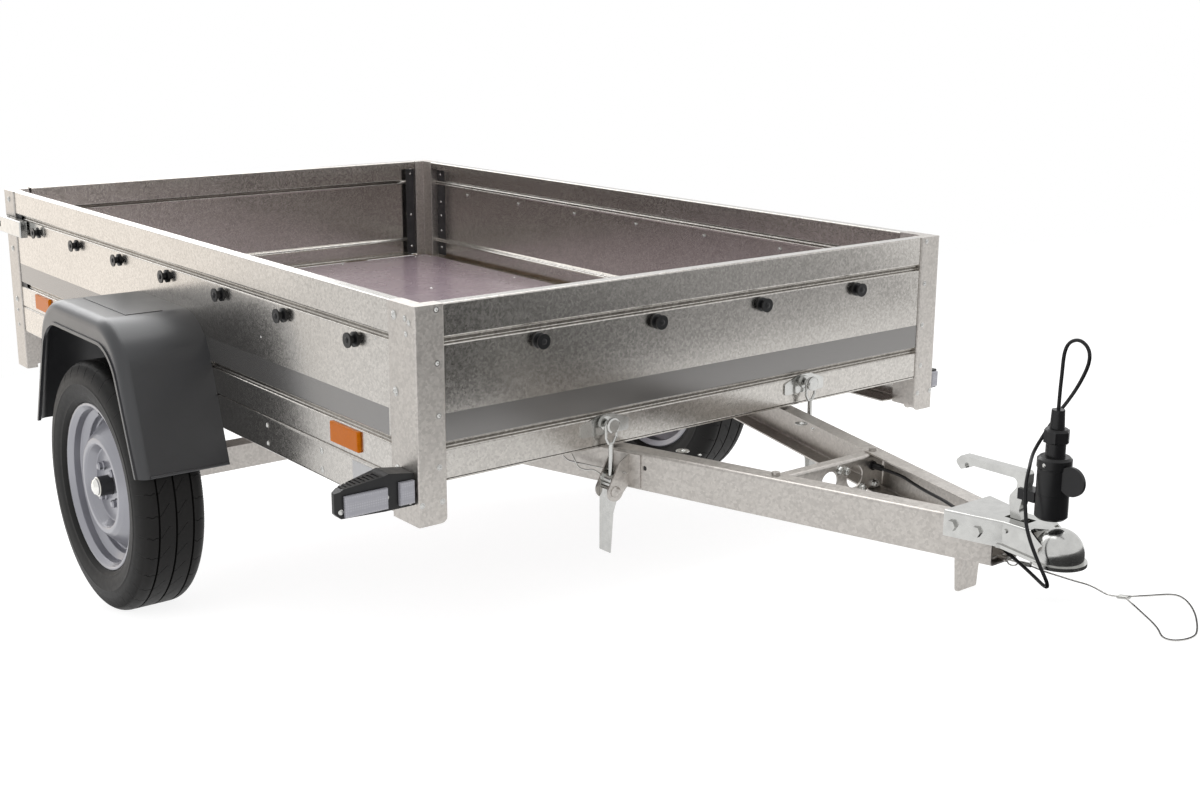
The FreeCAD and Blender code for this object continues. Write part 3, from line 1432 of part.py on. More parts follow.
loop_path = route([
    on_ground(214, 40, 1.6), on_ground(236, 60), on_ground(264, 84), on_ground(302, 54),
    on_ground(352, -8), on_ground(400, -84), on_ground(418, -122), on_ground(408, -150),
    on_ground(382, -146), on_ground(346, -98), on_ground(276, -30), on_ground(214, 28, 1.6),
])
print("loop", round(loop_path.Length, 1), "tightest bend", round(tightest_bend(loop_path), 1))
ferrule_length = 20.0
ferrule_half = 6.0
ferrule_rise = 2.8
ferrule = plate(
    [(-ferrule_half, -ferrule_rise), (ferrule_half, -ferrule_rise), (ferrule_half, ferrule_rise),
     (-ferrule_half, ferrule_rise)],
    "x", 0.0, ferrule_length, 2.5,
)
ferrule.rotate(Vec(0, 0, 0), Vec(0, 1, 0), -math.degrees(pitch))
ferrule.translate(Vec(*on_ground(196.1, 34, 1.6)))
nodes["breakaway_loop"] = fuse([swept(loop_path, wire_radius), ferrule])

# Rotating and parked placing


def parked(shape):
    placed = shape.copy()
    placed.rotate(Vec(0, 0, 0), Vec(0, 1, 0), math.degrees(pitch))
    return placed


cord_names = ("electric_cable", "breakaway_wire", "breakaway_loop", "plug")
placed_nodes = {name: parked(shape) for name, shape in nodes.items()}
box = FreeCAD.BoundBox()
for name, shape in placed_nodes.items():
    if name not in cord_names:
        box.add(shape.optimalBoundingBox())
print("pitch", round(math.degrees(pitch), 4), "box", box)
shift = Vec(-(box.XMin + box.XMax) / 2, 0, -box.ZMin)
for name, shape in placed_nodes.items():
    shape.translate(shift)
    solids = shape.Solids
    if not shape.isValid():
        print("invalid", name)
    print(name, len(solids), round(sum(s.Volume for s in solids) / 1000.0, 1))
    shape.exportStep("parts/" + name + ".step")
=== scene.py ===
import json
import math

import bmesh
import bpy
from mathutils import Matrix, Vector


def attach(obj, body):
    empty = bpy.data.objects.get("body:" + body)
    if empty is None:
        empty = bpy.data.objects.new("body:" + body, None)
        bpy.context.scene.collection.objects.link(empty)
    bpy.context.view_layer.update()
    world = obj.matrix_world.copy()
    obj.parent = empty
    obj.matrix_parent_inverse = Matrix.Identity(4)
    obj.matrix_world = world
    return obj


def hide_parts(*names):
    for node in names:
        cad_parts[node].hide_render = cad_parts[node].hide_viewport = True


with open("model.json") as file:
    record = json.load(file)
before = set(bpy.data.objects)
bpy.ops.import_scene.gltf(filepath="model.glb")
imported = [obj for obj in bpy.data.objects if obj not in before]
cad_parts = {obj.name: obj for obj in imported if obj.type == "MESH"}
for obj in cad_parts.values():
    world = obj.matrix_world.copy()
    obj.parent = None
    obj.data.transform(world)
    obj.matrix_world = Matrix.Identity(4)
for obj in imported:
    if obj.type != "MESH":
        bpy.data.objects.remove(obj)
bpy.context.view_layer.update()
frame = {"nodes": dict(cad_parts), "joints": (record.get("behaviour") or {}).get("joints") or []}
parts = frame["nodes"]

# The trailer is set out level, with the origin midway between the wheel centres, and then
# parked nose down on its foot. The wheel and tailgate joints say where it has been parked.
joint_at = {joint["name"]: Vector(joint["pos_m"]) for joint in frame["joints"]}
hinge_reach = Vector((-1.098, 0.0, 0.2375))
wheel_middle = Vector((joint_at["wheel_left_spin"].x, 0.0, joint_at["wheel_left_spin"].z))
hinge_parked = joint_at["tailgate_swing"] - wheel_middle
nose_down = math.atan2(hinge_reach.z, hinge_reach.x) - math.atan2(hinge_parked.z, hinge_parked.x)
parked = Matrix.Translation(wheel_middle) @ Matrix.Rotation(nose_down, 4, "Y")

# Camera: a 46 mm lens ahead and to the right of the coupling, looking back along the bed.
camera_data = bpy.data.cameras.new("photo camera")
camera_data.sensor_width = 36.0
camera_data.lens = 46.07
camera_data.shift_x = 0.0065
camera_data.shift_y = -0.02982
camera_data.clip_end = 60.0
camera = bpy.data.objects.new("photo camera", camera_data)
bpy.context.collection.objects.link(camera)
heading, dip, lean = math.radians(141.834), math.radians(13.184), math.radians(0.126)
ahead = Vector((math.cos(heading) * math.cos(dip), math.sin(heading) * math.cos(dip), -math.sin(dip)))
across = ahead.cross(Vector((0.0, 0.0, 1.0))).normalized()
upward = across.cross(ahead)
right = math.cos(lean) * across + math.sin(lean) * upward
above = math.cos(lean) * upward - math.sin(lean) * across
facing = Matrix((right, above, -ahead)).transposed().to_4x4()
camera_spot = (3.28217, -2.04158, 1.05858)
camera.matrix_world = parked @ Matrix.Translation(camera_spot) @ facing
bpy.context.scene.camera = camera

# Lighting cable: a round black rubber-covered cable from the grommet in the drawbar's tie,
# under the coupling, up behind the handle and over into the top of the parked plug.


class Value:
    """A number in a material. Python's signs on it add the Math nodes that work it out."""

    def __init__(self, finish, socket):
        self.finish = finish
        self.socket = socket

    def worked(self, operation, *terms):
        return self.finish.node("ShaderNodeMath", {"operation": operation}, dict(enumerate(terms)))

    def __add__(self, other):
        return self.worked("ADD", self, other)

    def __radd__(self, other):
        return self.worked("ADD", other, self)

    def __sub__(self, other):
        return self.worked("SUBTRACT", self, other)

    def __rsub__(self, other):
        return self.worked("SUBTRACT", other, self)

    def __mul__(self, other):
        return self.worked("MULTIPLY", self, other)

    def __rmul__(self, other):
        return self.worked("MULTIPLY", other, self)

    def __abs__(self):
        return self.worked("ABSOLUTE", self)

    def wave(self, length):
        """0 to 1 and back again over each length."""
        return 0.5 + 0.5 * self.worked("SINE", self * (2 * math.pi / length))

    def between(self, low, high):
        """0 below low, 1 above high, and smooth in between."""
        return self.finish.node("ShaderNodeMapRange", {"interpolation_type": "SMOOTHSTEP"},
                                {"Value": self, "From Min": low, "From Max": high})


class Finish:
    """One material: a Principled shader and the nodes that feed it."""

    def __init__(self, name, colour, roughness, metallic=0.0, **extra):
        self.material = bpy.data.materials.new(name)
        self.material.use_nodes = True
        self.tree = self.material.node_tree
        self.shader = self.tree.nodes["Principled BSDF"]
        self.feed({"Base Color": (*colour, 1.0), "Roughness": roughness, "Metallic": metallic})
        self.feed({name.replace("_", " "): value for name, value in extra.items()})
        self.here = self.node("ShaderNodeTexCoord", {}, {}, "Object")

    def join(self, value, socket):
        if isinstance(value, Value):
            self.tree.links.new(value.socket, socket)
        else:
            socket.default_value = value

    def feed(self, values):
        for name, value in values.items():
            self.join(value, self.shader.inputs[name])

    def node(self, kind, settings, values, out=0):
        made = self.tree.nodes.new(kind)
        for name, value in settings.items():
            setattr(made, name, value)
        for name, value in values.items():
            self.join(value, made.inputs[name])
        return Value(self, made.outputs[out])

    def noise(self, scale, detail=3.0):
        return self.node("ShaderNodeTexNoise", {}, {"Vector": self.here, "Scale": scale, "Detail": detail})

    def level(self):
        """The distances ahead, to the left and up from the wheel centres, along the level trailer."""
        place = self.node("ShaderNodeMapping", {"vector_type": "TEXTURE"},
                          {"Vector": self.here, "Location": wheel_middle, "Rotation": (0.0, nose_down, 0.0)})
        return [self.node("ShaderNodeSeparateXYZ", {}, {0: place}, axis) for axis in range(3)]

    def tint(self, amount, low, high):
        """A colour between low and high, as the amount goes from 0 to 1."""
        ends = [end if isinstance(end, Value) else (*end, 1.0) for end in (low, high)]
        return self.node("ShaderNodeMix", {"data_type": "RGBA"}, {0: amount, 6: ends[0], 7: ends[1]}, 2)

    def bumped(self, height, depth):
        self.feed({"Normal": self.node("ShaderNodeBump", {},
                                       {"Height": height, "Distance": depth, "Strength": 1.0})})


cable_rubber = Finish("cable rubber", (0.009, 0.009, 0.010), 0.42, Specular_IOR_Level=0.3)
cable_rubber.feed({"Roughness": 0.34 + 0.14 * cable_rubber.noise(60.0)})
cable_rubber.bumped(cable_rubber.noise(900.0, 2.0), 0.00004)
cable_thickness = 0.006
cable_points = [
    (1.426, 0.1146, 0.2025), (1.472, 0.1146, 0.2025), (1.532, 0.084, 0.2045), (1.588, 0.054, 0.2095),
    (1.648, 0.031, 0.2125), (1.708, 0.014, 0.2045), (1.763, 0.004, 0.1865), (1.810, -0.004, 0.1715),
    (1.858, -0.016, 0.1595), (1.933, -0.050, 0.1475), (1.900, -0.058, 0.2065), (1.880, -0.056, 0.2435),
    (1.872, -0.050, 0.2655), (1.860, -0.038, 0.2895), (1.852, -0.026, 0.3125), (1.845, -0.010, 0.3305),
    (1.834, 0.008, 0.3365), (1.826, 0.026, 0.3475), (1.834, 0.044, 0.3795), (1.856, 0.043, 0.4155),
    (1.886, 0.030, 0.4505), (1.914, 0.012, 0.4845), (1.933, 0.002, 0.5185), (1.932, 0.0, 0.5405),
    (1.915, 0.0, 0.5525), (1.896, 0.0, 0.5465), (1.887, 0.0, 0.5285), (1.886, 0.0, 0.4925),
    (1.8845, 0.0, 0.4605), (1.8845, 0.0, 0.4335),
]


def painted(name, finish):
    """Gives a CAD node its finish."""
    parts[name].material_slots[0].material = finish.material


def placed(name, mesh, finish, body):
    """A new piece drawn in the level frame, set down with the trailer on its body."""
    mesh.transform(parked)
    mesh.update()
    piece = bpy.data.objects.new(name, mesh)
    bpy.context.collection.objects.link(piece)
    mesh.materials.clear()
    mesh.materials.append(finish.material)
    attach(piece, body)
    return piece


def smooth_line(name, points, thickness, closed=False):
    """A round bar, wire or cord along one smooth line through the parked trailer's frame."""
    line = bpy.data.curves.new(name, "CURVE")
    line.dimensions = "3D"
    line.resolution_u = 8
    line.bevel_depth = thickness / 2
    line.bevel_resolution = 4
    line.use_fill_caps = not closed
    spline = line.splines.new("NURBS")
    spline.points.add(len(points) - 1)
    for point, spot in zip(spline.points, points):
        point.co = (*(parked @ Vector(spot)), 1.0)
    spline.order_u = 3
    spline.use_endpoint_u = not closed
    spline.use_cyclic_u = closed
    return line


def cord(name, points, thickness, finish, body):
    line = smooth_line(name, points, thickness)
    piece = bpy.data.objects.new(name, line)
    bpy.context.collection.objects.link(piece)
    line.materials.append(finish.material)
    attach(piece, body)
    return piece


cable = cord("lighting_cable", cable_points, cable_thickness, cable_rubber, "drawbar")
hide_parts("electric_cable")
painted("cable_grommet", cable_rubber)

# Breakaway cable: thin twisted steel wire from the eye under the coupling to the ground,
# where a pressed ferrule closes it into a loop that goes over the car's tow ball.
twisted_wire = Finish("twisted wire", (0.66, 0.65, 0.63), 0.34, 1.0)
twist = twisted_wire.node("ShaderNodeTexWave", {"bands_direction": "DIAGONAL"},
                          {"Vector": twisted_wire.here, "Scale": 420.0, "Distortion": 0.6})
# Painted shade and highlight: the colour is dark in the grooves between the strands and light on their
# crowns.
twisted_wire.feed({"Base Color": twisted_wire.tint(twist, (0.42, 0.41, 0.40), (0.86, 0.85, 0.82))})
twisted_wire.bumped(twist, 0.00012)
wire_thickness = 0.003
nose_x = 1.8
ground_at_foot = (1.725, 0.082)
free_lift = 0.0004
ferrule_lift = 0.0016


def on_ground(ahead_of_nose, y, lift=free_lift):
    """A spot for the middle of the wire, lying on the ground ahead of the nose."""
    x = nose_x + ahead_of_nose
    floor_height = ground_at_foot[1] + (x - ground_at_foot[0]) * math.tan(nose_down)
    return (x, y, floor_height + (wire_thickness / 2 + lift) / math.cos(nose_down))


wire_points = [
    (1.8061, 0.0, 0.1585), (1.818, 0.0, 0.1585), (1.838, 0.009, 0.1575), (1.860, 0.024, 0.1485),
    (1.894, 0.033, 0.1455), (1.918, 0.034, 0.1455), (1.946, 0.034, 0.1475),
    on_ground(0.178, 0.034, ferrule_lift), on_ground(0.196, 0.034, ferrule_lift),
    on_ground(0.214, 0.040, ferrule_lift), on_ground(0.236, 0.060), on_ground(0.264, 0.084),
    on_ground(0.302, 0.054), on_ground(0.352, -0.008), on_ground(0.400, -0.084), on_ground(0.418, -0.122),
    on_ground(0.408, -0.150), on_ground(0.382, -0.146), on_ground(0.346, -0.098), on_ground(0.276, -0.030),
    on_ground(0.214, 0.028, ferrule_lift),
]
ferrule_length = 0.020
ferrule_chamfer = 0.0015
ferrule_sides = 24


def shaped(form, name):
    """The finished mesh of a bmesh form, its faces turned outward."""
    bmesh.ops.recalc_face_normals(form, faces=form.faces)
    mesh = bpy.data.meshes.new(name)
    form.to_mesh(mesh)
    form.free()
    return mesh


def ferrule(name, spot, half_width, half_height, turn):
    """A short oval sleeve pressed flat round the wire."""
    form = bmesh.new()
    outline = []
    for step in range(ferrule_sides):
        angle = 2 * math.pi * step / ferrule_sides
        outline.append((half_width * math.copysign(abs(math.cos(angle)) ** 0.6, math.cos(angle)),
                        half_height * math.copysign(abs(math.sin(angle)) ** 0.8, math.sin(angle))))
    rings = []
    for along, grow in ((0.0, 0.82), (ferrule_chamfer, 1.0), (ferrule_length - ferrule_chamfer, 1.0),
                        (ferrule_length, 0.82)):
        rings.append([form.verts.new((along, y * grow, z * grow)) for y, z in outline])
    for near, far in zip(rings, rings[1:]):
        for step in range(ferrule_sides):
            following = (step + 1) % ferrule_sides
            form.faces.new((near[step], near[following], far[following], far[step]))
    form.faces.new(rings[0])
    form.faces.new(rings[-1][::-1])
    form.transform(Matrix.Translation(spot) @ turn)
    return shaped(form, name)


sleeve_metal = Finish("pressed ferrule", (0.50, 0.50, 0.48), 0.35, 1.0)
sleeve_metal.feed({"Roughness": 0.26 + 0.24 * sleeve_metal.noise(300.0)})
ferrule_spot = on_ground(0.1961, 0.034, ferrule_lift)
sleeve = placed("wire_ferrule",
                ferrule("wire_ferrule", ferrule_spot, 0.0064, 0.0028, Matrix.Rotation(-nose_down, 4, "Y")),
                sleeve_metal, "drawbar")
wire = cord("breakaway_cable", wire_points, wire_thickness, twisted_wire, "drawbar")
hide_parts("breakaway_wire", "breakaway_loop")

# Drawbar: two channels of galvanised plate that meet at the coupling, with a tie, a foot
# and a pivot lug at each rear end, all welded before they are dipped in zinc.


def spangle(finish, size, low, high, smooth, dull, depth, relief=0.0):
    """Flat zinc crystals that each catch the light a little differently."""
    noise_colour = finish.node("ShaderNodeTexNoise", {},
                               {"Vector": finish.here, "Scale": 1.2 / size, "Detail": 2.0}, 1)
    wander = size * 0.6
    bent = finish.node("ShaderNodeVectorMath", {"operation": "MULTIPLY_ADD"},
                       {0: noise_colour, 1: (wander, wander, wander), 2: finish.here})
    crystal = finish.node("ShaderNodeTexVoronoi", {}, {"Vector": bent, "Scale": 1.0 / size}, 1)
    shade = finish.node("ShaderNodeSeparateColor", {}, {"Color": crystal})
    cloud = finish.noise(5.0, 2.0)
    grain = finish.noise(420.0, 3.0)
    mixed = 0.4 * shade + 0.35 * grain + 0.25 * cloud
    colour = finish.tint(mixed, low, high)
    finish.feed({"Base Color": colour, "Roughness": smooth + (dull - smooth) * mixed})
    finish.bumped(depth * (0.6 * shade + 0.4 * grain) + relief, 1.0)
    return colour


dipped_zinc = Finish("hot-dipped zinc", (0.60, 0.59, 0.57), 0.42, 1.0)
spangle(dipped_zinc, 0.005, (0.36, 0.34, 0.32), (0.64, 0.61, 0.575), 0.36, 0.46, 0.00004)
for name in ("drawbar_beams", "drawbar_tie", "drawbar_foot", "breakaway_anchor", "latch_brackets"):
    painted(name, dipped_zinc)


class Pattern:
    """A Geometry Nodes tree that makes what repeats on one piece, its sizes as named inputs."""

    def __init__(self, name, sizes):
        self.tree = bpy.data.node_groups.new(name, "GeometryNodeTree")
        self.sizes = sizes
        face = self.tree.interface
        shape_in = face.new_socket("Geometry", in_out="INPUT", socket_type="NodeSocketGeometry")
        self.keys = {"Geometry": shape_in}
        face.new_socket("Geometry", in_out="OUTPUT", socket_type="NodeSocketGeometry")
        for label, size in sizes.items():
            kind = "NodeSocketInt" if isinstance(size, int) else "NodeSocketFloat"
            self.keys[label] = face.new_socket(label, in_out="INPUT", socket_type=kind)
        self.given = self.tree.nodes.new("NodeGroupInput").outputs

    def node(self, kind, settings, values, out=0):
        made = self.tree.nodes.new(kind)
        for name, value in settings.items():
            setattr(made, name, value)
        for name, value in values.items():
            for source in value if isinstance(value, list) else [value]:
                if isinstance(source, bpy.types.NodeSocket):
                    self.tree.links.new(source, made.inputs[name])
                else:
                    made.inputs[name].default_value = source
        return made.outputs[out]

    def worked(self, operation, first, second):
        return self.node("ShaderNodeMath", {"operation": operation}, {0: first, 1: second})

    def raised(self, shape, height):
        lift = self.node("ShaderNodeCombineXYZ", {}, {"Z": height})
        return self.node("GeometryNodeTransform", {}, {"Geometry": shape, "Translation": lift})

    def grown(self, name, spots, copy, finish, body):
        """Sets a copy on each spot, a (place, way it faces) pair, as one plain mesh on its body."""
        way = self.node("GeometryNodeInputNamedAttribute", {"data_type": "FLOAT_VECTOR"}, {"Name": "facing"})
        turn = self.node("FunctionNodeAlignRotationToVector", {"axis": "Z"}, {"Vector": way})
        set_out = self.node("GeometryNodeInstanceOnPoints", {},
                            {"Points": self.given["Geometry"], "Instance": copy, "Rotation": turn})
        plain = self.node("GeometryNodeRealizeInstances", {}, {"Geometry": set_out})
        self.node("NodeGroupOutput", {}, {"Geometry": self.node(
            "GeometryNodeSetMaterial", {}, {"Geometry": plain, "Material": finish.material})}, slice(0, 0))
        seed = bpy.data.meshes.new(name)
        seed.from_pydata([place for place, _ in spots], [], [])
        seed.attributes.new("facing", "FLOAT_VECTOR", "POINT")
        for entry, (_, way_out) in zip(seed.attributes["facing"].data, spots):
            entry.vector = way_out
        holder = bpy.data.objects.new(name, seed)
        bpy.context.collection.objects.link(holder)
        modifier = holder.modifiers.new("pattern", "NODES")
        modifier.node_group = self.tree
        for label, size in self.sizes.items():
            modifier[self.keys[label].identifier] = size
        bpy.context.view_layer.update()
        evaluated = holder.evaluated_get(bpy.context.evaluated_depsgraph_get())
        mesh = bpy.data.meshes.new_from_object(evaluated)
        bpy.data.objects.remove(holder)
        bpy.data.node_groups.remove(self.tree)
        mesh.name = name
        return placed(name, mesh, finish, body)


def round_heads(name, spots, radius, height, finish, body, flange=0.0):
    """Domed rivets, or screws whose domed head sits on a thin round flange."""
    made = Pattern(name, {"Radius": radius, "Height": height, "Flange": max(flange, radius * 1.02)})
    size, tall, brim = made.given["Radius"], made.given["Height"], made.given["Flange"]
    ball = made.node("GeometryNodeMeshUVSphere", {}, {"Segments": 18, "Rings": 9, "Radius": size})
    squash = made.node("ShaderNodeCombineXYZ", {},
                       {"X": 1.0, "Y": 1.0, "Z": made.worked("DIVIDE", tall, size)})
    dome = made.node("GeometryNodeTransform", {}, {"Geometry": ball, "Scale": squash})
    disc = made.node("GeometryNodeMeshCylinder", {},
                     {"Vertices": 24, "Radius": brim, "Depth": made.worked("MULTIPLY", tall, 0.36)})
    head = made.node("GeometryNodeJoinGeometry", {}, {"Geometry": [dome, disc]})
    return made.grown(name, spots, head, finish, body)


def bolt_heads(name, spots, radius, height, washer, finish, body):
    """Hexagonal heads with a chamfered top, each on a flat round washer."""
    made = Pattern(name, {"Radius": radius, "Height": height, "Washer": washer, "Sides": 6})
    size, tall, brim, sides = [made.given[label] for label in ("Radius", "Height", "Washer", "Sides")]
    thin = made.worked("MULTIPLY", tall, 0.22)
    disc = made.node("GeometryNodeMeshCylinder", {}, {"Vertices": 28, "Radius": brim, "Depth": thin})
    disc = made.raised(disc, made.worked("MULTIPLY", thin, 0.5))
    body_height = made.worked("MULTIPLY", tall, 0.82)
    prism = made.node("GeometryNodeMeshCylinder", {},
                      {"Vertices": sides, "Radius": size, "Depth": body_height})
    prism = made.raised(prism, made.worked("MULTIPLY", tall, 0.45))
    top = made.node("GeometryNodeMeshCone", {}, {
        "Vertices": 24, "Radius Bottom": made.worked("MULTIPLY", size, 0.93),
        "Radius Top": made.worked("MULTIPLY", size, 0.78), "Depth": made.worked("MULTIPLY", tall, 0.16)})
    top = made.raised(top, made.worked("MULTIPLY", tall, 0.84))
    stem = made.node("GeometryNodeMeshCylinder", {}, {
        "Vertices": 16, "Radius": made.worked("MULTIPLY", size, 0.5),
        "Depth": made.worked("MULTIPLY", tall, 0.5)})
    stem = made.raised(stem, tall)
    head = made.node("GeometryNodeJoinGeometry", {}, {"Geometry": [disc, prism, top, stem]})
    return made.grown(name, spots, head, finish, body)


def both(spots):
    """The given left-hand spots and their right-hand twins."""
    twins = [((x, -y, z), (a, -b, c)) for (x, y, z), (a, b, c) in spots]
    return list(spots) + twins


plated = Finish("bright zinc plate", (0.52, 0.52, 0.51), 0.24, 1.0)
plated.feed({"Base Color": plated.tint(plated.noise(60.0), (0.44, 0.44, 0.43), (0.62, 0.62, 0.60)),
             "Roughness": 0.10 + 0.20 * plated.noise(45.0)})
up, forward, outward = (0.0, 0.0, 1.0), (1.0, 0.0, 0.0), (0.0, 1.0, 0.0)
backward, inward = (-1.0, 0.0, 0.0), (0.0, -1.0, 0.0)
beam_top = 0.2275
round_heads("beam_top_bolts", both([((1.170, 0.161, beam_top), up)]), 0.0062, 0.0042, plated, "drawbar",
            0.013)
round_heads("beam_top_screws", both([((1.210, 0.153, beam_top), up)]), 0.0036, 0.0022, plated, "drawbar")
tie_face = 1.402
tie_spots = [(0.024, 0.211), (0.042, 0.206), (0.090, 0.165), (-0.090, 0.165), (0.1245, 0.166),
             (-0.1245, 0.166)]
bolt_heads("tie_bolts", [((tie_face, y, z), forward) for y, z in tie_spots], 0.0072, 0.0085, 0.0090,
           plated, "drawbar")

# Coupling, handle and tipping latches: pressed and forged steel, plated with bright zinc.
# A small snap hook joins the breakaway wire to its eye under the coupling.
for name in ("coupling_head", "coupling_handle", "latch_levers", "latch_rings", "latch_clips", "latch_studs",
             "gate_latches"):
    painted(name, plated)


def bent_bar(name, points, thickness, finish, body):
    """A rigid bar or ring of round steel, as a plain mesh."""
    line = smooth_line(name, points, thickness, closed=True)
    holder = bpy.data.objects.new(name, line)
    bpy.context.collection.objects.link(holder)
    mesh = bpy.data.meshes.new_from_object(holder)
    bpy.data.objects.remove(holder)
    mesh.name = name
    mesh.transform(parked.inverted())
    return placed(name, mesh, finish, body)


hook_start = Vector((1.8065, 0.0, 0.1585))
hook_ring = [(0.0, 0.0), (0.004, 0.0065), (0.014, 0.0072), (0.021, 0.003), (0.021, -0.003), (0.014, -0.0072),
             (0.004, -0.0065)]
hook_tilt = 0.35
hook_wire = 0.0026
bent_bar("snap_hook", [hook_start + Vector((along, hook_tilt * side, side)) for along, side in hook_ring],
         hook_wire, plated, "drawbar")
hook_sleeve_turn = Matrix.Rotation(0.42, 4, "Z") @ Matrix.Rotation(0.06, 4, "Y")
placed("snap_hook_sleeve",
       ferrule("snap_hook_sleeve", (1.828, 0.0045, 0.1578), 0.0042, 0.0036, hook_sleeve_turn),
       sleeve_metal, "drawbar")

# Axle: a square galvanised tube on two hangers under the bed, with a forged arm at each end
# that carries the wheel on its stub.
for name in ("pivot_brackets", "axle_tube", "axle_hangers", "swing_arms"):
    painted(name, dipped_zinc)

# Hubs: turned steel flanges behind the rims, with a black tube that a domed cap closes.
hub_metal = Finish("hub", (0.03, 0.03, 0.032), 0.4)
to_the_left = hub_metal.level()[1]
cap_from = 0.8768
is_cap = abs(to_the_left).between(cap_from, cap_from + 0.0002)
hub_metal.feed({
    "Base Color": hub_metal.tint(is_cap, (0.030, 0.030, 0.032), (0.78, 0.77, 0.74)),
    "Metallic": is_cap,
    "Roughness": 0.42 - 0.26 * is_cap + 0.08 * hub_metal.noise(70.0),
})
for name in ("hub_left", "hub_right"):
    painted(name, hub_metal)

# Rims: pressed steel wheels painted silver, each with a rubber valve in its drop.
rim_paint = Finish("silver wheel paint", (0.40, 0.40, 0.43), 0.3, 0.6, Coat_Roughness=0.12)
flake = rim_paint.noise(2600.0, 1.0)
rim_paint.feed({
    "Base Color": rim_paint.tint(0.6 * flake + 0.4 * rim_paint.noise(9.0), (0.27, 0.27, 0.30),
                                 (0.44, 0.44, 0.475)),
    "Roughness": 0.26 + 0.12 * rim_paint.noise(24.0),
    "Coat Weight": 0.35,
})
rim_paint.bumped(flake, 0.00002)
for name in ("rim_left", "rim_right"):
    painted(name, rim_paint)
wheel_plane = 0.813
valve_out, valve_from_axle, valve_lean = 0.020, 0.1535, math.radians(58)


def turned(name, outline, place, segments=32):
    """A turned piece: its (radius, height) outline spun about Z, then set in place."""
    form = bmesh.new()
    rings = []
    for radius, height in outline:
        if radius == 0.0:
            rings.append([form.verts.new((0.0, 0.0, height))])
            continue
        rings.append([form.verts.new((radius * math.cos(2 * math.pi * step / segments),
                                      radius * math.sin(2 * math.pi * step / segments), height))
                      for step in range(segments)])
    for low, high in zip(rings, rings[1:]):
        for step in range(segments):
            following = (step + 1) % segments
            corners = [low[step % len(low)], low[following % len(low)],
                       high[following % len(high)], high[step % len(high)]]
            form.faces.new(list(dict.fromkeys(corners)))
    form.transform(place)
    return shaped(form, name)


valve_outline = [(0.0, -0.004), (0.006, -0.004), (0.0075, 0.0), (0.0075, 0.004), (0.0048, 0.008),
                 (0.0042, 0.022), (0.0050, 0.023), (0.0050, 0.031), (0.0042, 0.033), (0.0, 0.033)]
valve_rubber = Finish("valve rubber", (0.012, 0.012, 0.013), 0.5, Specular_IOR_Level=0.25)
valve_rubber.bumped(valve_rubber.noise(800.0), 0.00005)
for side, body in ((1, "wheel_left"), (-1, "wheel_right")):
    lean_out = Matrix.Rotation(-side * valve_lean, 4, "X")
    place = Matrix.Translation((0.0, side * (wheel_plane + valve_out), valve_from_axle)) @ lean_out
    placed("tyre_valve_" + body[6:], turned("valve", valve_outline, place, 20), valve_rubber, body)

# Tyres: black rubber with four ribs between three grooves, cut by wavy sipes at the
# shoulders and by slanting cuts on the two centre ribs. Small ribs run round the shoulders.
tyre_radius = 0.286
tread_pitches = 36
ribs_per_pitch = 8
groove_depth = 0.0065
groove_half = 0.0022
cut_depth = 0.0045
cut_width = 0.0015
cut_sway = 0.0022
slant = 0.024
shoulder_rib = 0.0024
tyre_rubber = Finish("tyre rubber", (0.009, 0.0085, 0.008), 0.5, Specular_IOR_Level=0.22)
tyre_rubber.feed({
    "Base Color": tyre_rubber.tint(tyre_rubber.noise(14.0), (0.006, 0.0056, 0.0054), (0.013, 0.0122, 0.0117)),
    "Roughness": 0.44 + 0.16 * tyre_rubber.noise(90.0),
})
tyre_rubber.bumped(tyre_rubber.noise(1100.0, 2.0), 0.00006)


